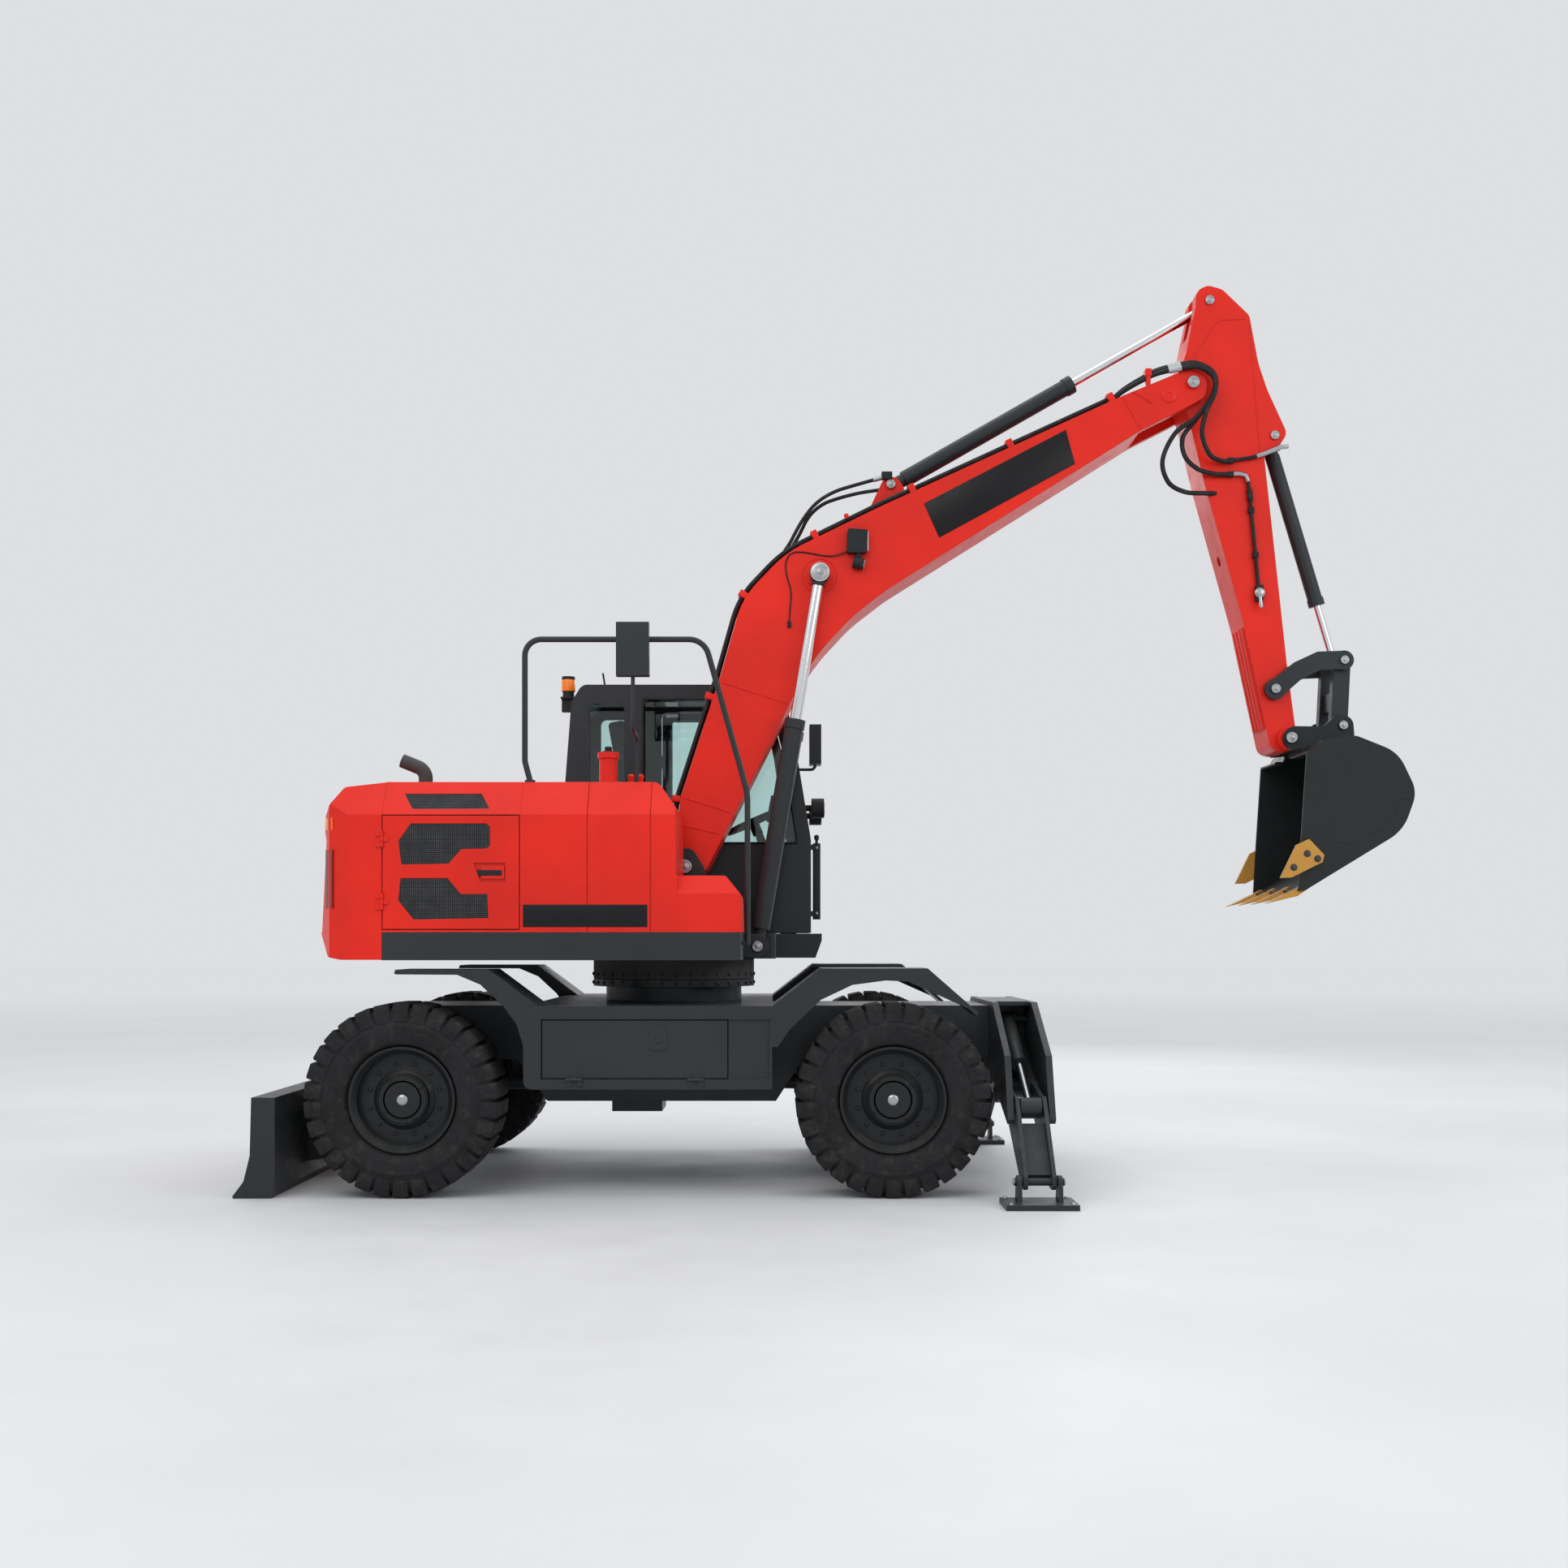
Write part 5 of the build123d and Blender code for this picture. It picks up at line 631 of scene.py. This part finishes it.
lenses = Heap()
lenses.lathe((-700, 500, 2981), (0, 0, 1), [(0, 44), (70, 43), (84, 38), (93, 24), (95, 6)], 40)
lenses.make("beacon_lens", AMBER, "upper", 1)
lenses = Heap()
for y in (450, 1150):
    lenses.lathe((924, y, 2235), (1, 0, 0), [(-1, 56), (3, 56), (6, 46), (7, 20)], 40)
for y in (560, 1040):
    lenses.box((689, 694), (y - 52, y + 52), (3036, 3110))
lenses.make("cab_lamp_lenses", CLEAR, "upper", 1.5)
lenses = Heap()
lenses.box((1163, 1170), (-266, -222), (3712, 3826))
lenses.lathe((1142, -249, 3634), (0.983, 0, -0.184), [(-1, 29), (3, 29), (5, 20), (6, 8)], 36)
lenses.make("boom_lamp_lenses", CLEAR, "boom", 1.5)

FAR_SIDE = 1600  # outside everything that a panel lies on


def panel(name, node, x, z, side, thick, material, body):
    """A thin panel that lies on the side of a CAD node."""
    heap, low, high = Heap(), [], []
    for corner in ((x[0], z[0]), (x[1], z[0]), (x[1], z[1]), (x[0], z[1])):
        spot, out = meet(node, (corner[0], side * FAR_SIDE, corner[1]), (0, -side, 0))
        low.append(spot - out)
        high.append(spot + out * thick)
    heap.rings([low, high])
    heap.make(name, material, body, 1.5)


for hand, side in HANDS:
    panel(f"reflector_{hand}", "counterweight", (-1836, -1788), (1996, 2062), side, 6, AMBER, "upper")
    panel(f"tail_lamp_{hand}", "counterweight", (-1832, -1784), (1570, 1888), side, 9, RUBY, "upper")

faces = Heap()
faces.box((-242, -78), (-1122, -1118.5), (2848, 3112))
faces.box((845.5, 849), (1226, 1354), (2604, 2846))
faces.make("mirror_faces", MIRROR, "upper", 1.2)

knob = Heap()
knob.lathe((-335, -700, 2464), (0, 0, 1), [(0, 30), (10, 30), (14, 20), (30, 22), (36, 14)], 24)
knob.make("filler_knob", DARK, "upper")
fitting = Heap()
rows = [(0, 24), (8, 24), (10, 15), (52, 15), (58, 19), (72, 19), (78, 10)]
for x in (-151, -205):
    fitting.lathe((x, -700, 2264), (0, 0, 1), rows, 24)
fitting.make("tank_fittings", PAINT, "upper")
lock = Heap()
lock.lathe((-17, -1191, 857), (0, -1, 0), [(-2, 17), (5, 17), (8, 14), (9, 5)], 24)
lock.make("box_lock", STEEL_M, "box_door")

# ---------------------------------------------------------------- welds and bolts

WELD_REACH = {"boom": BOOM_SIDE, "stick": STICK_SIDE, "bucket": BUCKET_SIDE}
# (body, line of (x, z))
WELDS = [
    ("boom", ((302, 2935), (690, 2809))), ("boom", ((62, 2252), (350, 2160))),
    ("boom", ((40, 2087), (278, 2034))), ("boom", ((2690, 4640), (2795, 4450))),
    ("stick", ((3130, 4910), (3257, 5100), (3286, 5122), (3440, 5128))),
    ("stick", ((3466, 5080), (3528, 4317))),
    ("bucket", ((3866, 1975), (3987, 1951), (4199, 2101), (4241, 2219), (4310, 2224))),
]
for number, (body, line) in enumerate(WELDS):
    bead = Heap()
    for side in SIDES:
        bead.pipe([(x, side * WELD_REACH[body], z) for x, z in line], 4, 8)
    bead.make(f"weld_{number}", BUCKET if body == "bucket" else PAINT, body)

RING_R, RING_BOLTS = 487, 36
for body, z in (("upper", 1196), ("chassis", 1145)):
    ring = Heap()
    for step in range(RING_BOLTS):
        turn = 2 * math.pi * (step + 0.5) / RING_BOLTS
        way = (math.cos(turn), math.sin(turn), 0)
        ring.bolt((RING_R * way[0], RING_R * way[1], z), way, 9, 7)
    ring.make(f"ring_bolts_{body}", IRON_M, body)
for hand, side in HANDS:
    studs = Heap()
    for x in (1836, 2160):
        for y in (1403, 1647):
            studs.bolt((x, side * y, 28), (0, 0, 1), 12)
    studs.make(f"pad_bolts_{hand}", STEEL_M, f"pad_{hand}")
studs = Heap()
for side in SIDES:
    for x, z in ((3622, 1820), (3700, 1900), (3760, 1870)):
        studs.bolt((x, side * 521, z), (0, side, 0), 15)
studs.make("cutter_bolts", IRON_M, "bucket")
studs = Heap()
for y in range(-1080, 1081, 240):
    for z in (40, 95):
        spot, out = meet("blade", (-2700, y, z), (1, 0, 0))
        studs.bolt(spot, out, 13)
studs.make("blade_bolts", IRON_M, "blade")

# ---------------------------------------------------------------- hoses and clamps

CLAMP_SIDE = -0.19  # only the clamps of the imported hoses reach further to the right, in metres
CLAMP_SIZE, CLAMP_OVER = 0.10, 0.004
corners = [vertex.co.copy() for vertex in NODES["boom_hoses"].data.vertices if vertex.co.y < CLAMP_SIDE]
groups = []
for corner in corners:
    near = [group for group in groups if (group[0] - corner).length < CLAMP_SIZE]
    if near:
        near[0].append(corner)
    else:
        groups.append([corner])
clamps = Heap()
for group in groups:
    middle = sum(group, Vector()) / len(group)
    outline = []
    for corner in sorted(group, key=lambda place: math.atan2(place.z - middle.z, place.x - middle.x)):
        grown = corner + (corner - middle).normalized() * CLAMP_OVER
        place = Vector(((grown.x - ORIGIN_X) * 1000, -201, grown.z * 1000))
        if not outline or (place - outline[-1]).length > 2:
            outline.append(place)
    if len(outline) > 3:
        clamps.slab(outline, (0, 146, 0))
clamps.make("hose_clamps", PAINT, "boom", 3)

# Three hoses over the stick's joint, from the hoses along the boom to the stick
CROSSING = (
    (
        (2600, -168, 4610), (2706, -170, 4690), (2829, -186, 4756), (2911, -204, 4786),
        (3050, -238, 4806), (3140, -246, 4806), (3222, -246, 4752), (3232, -246, 4660),
        (3180, -246, 4540), (3158, -238, 4410), (3210, -214, 4296), (3290, -184, 4266),
        (3350, -168, 4271),
    ),
    (
        (2600, -128, 4610), (2706, -134, 4706), (2829, -160, 4776), (2911, -184, 4806),
        (3050, -220, 4826), (3140, -228, 4826), (3226, -230, 4770), (3226, -230, 4660),
        (3130, -228, 4520), (3000, -228, 4420), (2925, -226, 4260), (2960, -222, 4130),
        (3060, -206, 4076), (3180, -178, 4074), (3262, -140, 4082),
    ),
    (
        (2600, -88, 4610), (2706, -100, 4706), (2829, -134, 4782), (2911, -164, 4818),
        (3050, -202, 4842), (3140, -208, 4842), (3236, -210, 4780), (3236, -210, 4660),
        (3130, -208, 4510), (3050, -208, 4400), (3062, -206, 4290), (3140, -198, 4215),
        (3250, -176, 4190), (3350, -168, 4191),
    ),
)
for number, route in enumerate(CROSSING):
    line = Heap()
    line.pipe(smooth_path(route), 14, 14)
    made = line.make(f"joint_hose_{number}", HOSE, None)
    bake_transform(made)
saddle = Heap()
saddle.box((2832, 2858), (-212, -154), (4690, 4778))
saddle.box((2826, 2864), (-216, -112), (4768, 4812))
saddle.make("tip_saddle", PAINT, "boom", 4)
sleeves = Heap()
for route in CROSSING:
    sleeves.pipe(smooth_path(route[:6])[34:40], 18, 16)
sleeves.make("hose_sleeves", STEEL_M, "boom")
sleeves = Heap()
sleeves.pipe([(3500, -168, 4298), (3560, -168, 4318), (3645, -168, 4354), (3690, -168, 4358)], 14, 16)
sleeves.pipe([(3325, -168, 4190), (3400, -168, 4194), (3436, -168, 4184), (3451, -168, 4146)], 14, 16)
sleeves.lathe((3516, -178, 3478), (0, -1, 0), [(-8, 30), (12, 30), (14, 22), (20, 22), (22, 8)], 28)
lever = ((3508, 3456), (3524, 3456), (3532, 3392), (3520, 3384), (3508, 3394))
sleeves.slab([(x, -190, z) for x, z in lever], (0, -7, 0))
sleeves.make("pipe_sleeves", STEEL_M, "stick", 1.5)
wrap = Heap()
wrap.pipe([(3457, -168, 4098), (3465, -168, 4030)], 17, 16)
wrap.make("pipe_wrap", HOSE, "stick")
for hand, side in HANDS:
    boss = Heap()
    eye = (1940, side * LEG_EYE[0], LEG_EYE[1])
    boss.lathe(eye, (1, 0, 0), [(0, 54), (3, 57.5), (113, 57.5), (116, 54)], 40)
    boss.make(f"leg_boss_{hand}", FRAME, f"leg_rod_{hand}")
ROD_EYE, ROD_WAY = (880, 3571), (-0.1647, 0, -0.9863)  # the boom cylinders' upper pin, and down their rods
collars = Heap()
for side in SIDES:
    eye = (ROD_EYE[0], side * 292, ROD_EYE[1])
    collars.lathe(eye, (0, side, 0), [(-51, 54), (-48, 58), (46, 58), (49, 54)], 48)
    collars.lathe(eye, ROD_WAY, [(46, 39), (72, 39), (76, 36)], 32)
collars.make("boom_rod_collars", FRAME, "boom_rods")
discs = Heap()
for side in SIDES:
    out = (0, side, 0)
    eye = (ROD_EYE[0], side * (BOOM_SIDE - 1), ROD_EYE[1])
    discs.lathe(eye, out, [(0, 98), (3, 101), (3, 105), (0, 108)], 64)
    low = side * (BOOM_SIDE - 2)
    discs.lathe((2967, low, 4651), out, [(0, 47), (5, 47), (7, 44), (7, 16), (4, 14)], 40)
    discs.pipe([(2754, side * BOOM_SIDE, 4670), (2865, side * BOOM_SIDE, 4604)], 6, 8)
    discs.lathe((1040, low, 3930), out, [(0, 15), (5, 15), (6, 12)], 24)
discs.make("boom_bosses", PAINT, "boom")

# Hoses to the foot of the stick's cylinder
FOOT_HOSES = (
    (
        (600, -66, 3640), (660, -65, 3735), (705, -64, 3800), (735, -64, 3860), (782, -64, 3945),
        (860, -64, 4046), (971, -66, 4114), (1090, -70, 4148), (1180, -76, 4172), (1256, -82, 4192),
    ),
    (
        (620, -40, 3650), (690, -38, 3745), (735, -36, 3810), (765, -36, 3862), (817, -36, 3972),
        (900, -38, 4044), (985, -42, 4074), (1078, -48, 4098), (1150, -52, 4112), (1230, -58, 4122),
        (1262, -60, 4126),
    ),
)
for number, route in enumerate(FOOT_HOSES):
    hose(f"foot_hose_{number}", route, 11, HOSE, "boom")
block = Heap()
block.pipe([(1208, -78, 4180), (1262, -83, 4194)], 15, 16)
block.make("foot_sleeve", STEEL_M, "boom")
block = Heap()
block.box((1258, 1322), (-104, -58), (4180, 4226))
block.make("foot_block", DARK, "boom", 4)
LAMP_WIRE = (
    (1046, -232, 3716), (990, -228, 3690), (910, -219, 3688), (800, -219, 3712), (714, -219, 3716),
    (676, -219, 3660), (680, -219, 3580), (714, -219, 3476), (704, -219, 3380), (699, -219, 3292),
)
hose("lamp_wire", LAMP_WIRE, 4, HOSE, "boom")
plug = Heap()
plug.box((688, 710), (-226, -214), (3262, 3300))
plug.make("lamp_plug", DARK, "boom", 2)
# A wear plate with three ribs on the side of the stick that looks at the boom
wear = Heap()
inner, outer = [], []
for z in (3280, 3080, 2880, 2670):
    spot, out = meet("stick", (2600, 0, z), (1, 0, 0))
    inner.append(spot - out * 2)
    outer.append(spot + out * 11)
rows = []
for low, high in zip(inner, outer):
    rows.append([(low.x, -118, low.z), (high.x, -114, high.z), (high.x, 114, high.z), (low.x, 118, low.z)])
wear.rings(rows)
for y in (-70, 0, 70):
    wear.pipe([(high.x, y, high.z) for high in outer], 7, 10)
wear.make("stick_wear_plate", PAINT, "stick", 1.5)

# ---------------------------------------------------------------- cab

SIDE_PANE = [(-215, 2010), (-215, 2916), (590, 2916), (665, 2620), (755, 2010)]
DOOR_PANE = [(-85, 1900), (-85, 2880), (560, 2880), (615, 2620), (705, 2000)]
SEALS = (("cab_seal", SIDE_PANE, 372, "upper"), ("door_seal", DOOR_PANE, 1228, "cab_door"))
for name, outline, y, body in SEALS:
    seal = Heap()
    for a, b in zip(outline, outline[1:] + outline[:1]):
        seal.pipe([(a[0], y, a[1]), (b[0], y, b[1])], 7, 8)
    seal.make(name, HOSE, body)


def screen_x(z):
    """Where the sloped windscreen stands at a height."""
    return 664 + (2880 - z) * 138 / 760


wiper = Heap()
arm = ((16, 700, 2140), (20, 760, 2300), (14, 830, 2560))  # (distance from the windscreen, y, z)
blade = ((9, 820, 2290), (9, 850, 2820))
wiper.pipe([(screen_x(z) + gap, y, z) for gap, y, z in arm], 6)
wiper.pipe([(screen_x(z) + gap, y, z) for gap, y, z in blade], 6, 6)
wiper.lathe((screen_x(2140) + 2, 700, 2140), (1, 0, 0.18), [(0, 22), (16, 22), (20, 14)], 20)
wiper.make("wiper", DARK, "upper")
screen = Heap()
screen.slab([(560, 470, 2160), (560, 640, 2160), (590, 640, 2320), (590, 470, 2320)], (26, 0, -5))
screen.pipe([(600, 520, 2165), (640, 500, 1990)], 12)
screen.make("monitor", DARK, "upper", 4)
boots = Heap()
for y in (484, 1116):
    rows = [(-4, 50), (14, 46), (20, 38), (30, 42), (38, 32), (48, 36), (58, 26), (66, 29), (80, 16)]
    boots.lathe((150, y, 2062), (0.12, 0, 1), rows, 28)
boots.make("stick_boots", HOSE, "upper")

guard = Heap()
guard.box((869, 921), (1176, 1184), (1539, 2053))
guard.box((800, 880), (1170, 1178), (2008, 2044))
guard.box((800, 880), (1170, 1178), (1560, 1596))
guard.lathe((895, 1180, 2050), (0, 0, 1), [(0, 10), (24, 10), (30, 17), (52, 17), (60, 8)], 18)
guard.make("front_guard", FRAME, "upper", 2)
studs = Heap()
for z in (1580, 2022):
    studs.bolt((895, 1176, z), (0, -1, 0), 8)
studs.make("front_guard_bolts", STEEL_M, "upper")

ROUND_R = 27.0  # the rounding of a cushion's edges
CHANNEL_DEPTH, CHANNEL_WIDTH, PULLED_IN = 9, 12, 5


def cushion(name, centre, tilt, half, crown, channels):
    """A padded form: a rounded box, crowned in front, its sides pulled in, with sewn channels across."""
    heap = bmesh.new()
    bmesh.ops.create_cube(heap, size=2.0)
    bmesh.ops.subdivide_edges(heap, edges=heap.edges[:], cuts=27, use_grid_fill=True)
    turn = Matrix.Rotation(tilt, 3, "Y")
    for corner in heap.verts:
        u, v, w = corner.co
        flat = Vector((u * half[0], v * half[1], w * half[2]))
        core = Vector([max(-h + ROUND_R, min(h - ROUND_R, c)) for c, h in zip(flat, half)])
        away = flat - core
        place = core + (away.normalized() * ROUND_R if away.length > 0 else away)
        full = (1 - u * u) * (1 - v * v)
        if w > 0:
            place.z += crown * full * w
            for line in channels:
                depth = CHANNEL_DEPTH * math.exp(-((flat.x - line) / CHANNEL_WIDTH) ** 2)
                place.z -= depth * w * (1 - v ** 6)
        place.y -= math.copysign(PULLED_IN * (1 - u * u) * abs(v), v)
        corner.co = at(*(Vector(centre) + turn @ place))
    for face in heap.faces:
        face.smooth = True
    data = bpy.data.meshes.new(name)
    heap.to_mesh(data)
    heap.free()
    show(bpy.data.objects.new(name, data), CLOTH, "upper")


cushion("seat_cushion", (-75, 800, 1865), 0.0, (279, 261, 79), 16, (-120, 20, 150))
cushion("seat_back", (-312.5, 800, 2250), math.radians(78.3), (357, 253, 69), 14, (-190, -60, 70, 200))
cushion("seat_headrest", (-390, 800, 2698), math.radians(79.8), (116, 153, 56), 8, ())

# ---------------------------------------------------------------- camera, floor and light

EYE = (-0.423, -10.95, 1.385)

camera = bpy.data.objects.new("camera", bpy.data.cameras.new("camera"))
bpy.context.scene.collection.objects.link(camera)
camera.location = EYE
camera.rotation_euler = (math.radians(90), 0, 0)
camera.data.lens = 41.3
camera.data.sensor_width = 36.0
camera.data.shift_x = 0.006
camera.data.shift_y = 0.101
camera.data.clip_end = 400.0
bpy.context.scene.camera = camera

FLOOR_TONE = (0.64, 0.65, 0.66)
FAR_TONE = (0.80, 0.80, 0.80)
FLOOR_HALF, FLOOR_DROP = 90.0, 0.0015  # in metres


def floor():
    """A pale floor that fades to the tone of the background with distance."""
    made = Finish("pale_floor", 0.62)
    patches = made.spread(made.noise(0.35, 5.0), 0.3, 0.7)
    wide = made.mix(patches, shade(FLOOR_TONE, 0.94), shade(FLOOR_TONE, 1.05))
    near = made.mix(made.spread(made.noise(30.0, 6.0), 0.3, 0.7, 0.0, 0.25), wide, FLOOR_TONE)
    away = made.node("ShaderNodeVectorMath", {0: made.place}, operation="LENGTH").outputs["Value"]
    made.feed("Base Color", made.mix(made.spread(away, 6.0, 40.0), near, FAR_TONE))
    made.feed("Roughness", made.spread(made.noise(2.5, 5.0), 0.3, 0.7, 0.5, 0.7))
    made.feed("Normal", made.bump(made.noise(90.0, 4.0), 0.05, 0.001))
    mesh = bpy.data.meshes.new("floor")
    corners = [(x * FLOOR_HALF, y * FLOOR_HALF, -FLOOR_DROP) for x, y in ((-1, -1), (1, -1), (1, 1), (-1, 1))]
    mesh.from_pydata(corners, [], [(0, 1, 2, 3)])
    mesh.materials.append(made.material)
    obj = bpy.data.objects.new("floor", mesh)
    bpy.context.scene.collection.objects.link(obj)


floor()


def lamp(name, place, aim, size, power):
    """An area light turned to a point."""
    light = bpy.data.lights.new(name, "AREA")
    light.shape = "RECTANGLE"
    light.size, light.size_y = size
    light.energy = power
    obj = bpy.data.objects.new(name, light)
    obj.location = place
    obj.rotation_euler = (Vector(aim) - Vector(place)).to_track_quat("-Z", "Y").to_euler()
    bpy.context.scene.collection.objects.link(obj)


lamp("key", (-5.0, -9.5, 9.0), (0.0, 0.0, 1.6), (9.0, 5.0), 340.0)
lamp("fill", (8.0, -7.0, 6.0), (0.3, 0.0, 1.8), (6.0, 5.0), 160.0)
lamp("top", (0.0, 1.5, 11.0), (0.0, 0.0, 1.0), (10.0, 8.0), 260.0)
lamp("behind", (2.0, 11.0, 7.0), (0.0, 0.0, 1.8), (9.0, 4.0), 260.0)

LIT, LIT_STRENGTH = (0.95, 0.97, 1.0, 1.0), 0.95  # what lights the machine
SHOWN, SHOWN_STRENGTH = (0.73, 0.74, 0.76, 1.0), 1.0  # what the camera, reflections and glass show

world = bpy.data.worlds.new("studio")
bpy.context.scene.world = world
world.use_nodes = True
sky = world.node_tree
for old in list(sky.nodes):
    sky.nodes.remove(old)


def background(colour, strength):
    made = sky.nodes.new("ShaderNodeBackground")
    made.inputs["Color"].default_value = colour
    made.inputs["Strength"].default_value = strength
    return made.outputs[0]


def total(first, second):
    made = sky.nodes.new("ShaderNodeMath")
    made.operation = "ADD"
    made.use_clamp = True
    sky.links.new(first, made.inputs[0])
    sky.links.new(second, made.inputs[1])
    return made.outputs[0]


rays = sky.nodes.new("ShaderNodeLightPath").outputs
seen = total(total(rays["Is Camera Ray"], rays["Is Glossy Ray"]), rays["Is Transmission Ray"])
choice = sky.nodes.new("ShaderNodeMixShader")
sky.links.new(seen, choice.inputs[0])
sky.links.new(background(LIT, LIT_STRENGTH), choice.inputs[1])
sky.links.new(background(SHOWN, SHOWN_STRENGTH), choice.inputs[2])
sky.links.new(choice.outputs[0], sky.nodes.new("ShaderNodeOutputWorld").inputs[0])

bpy.context.scene.view_settings.view_transform = "Standard"
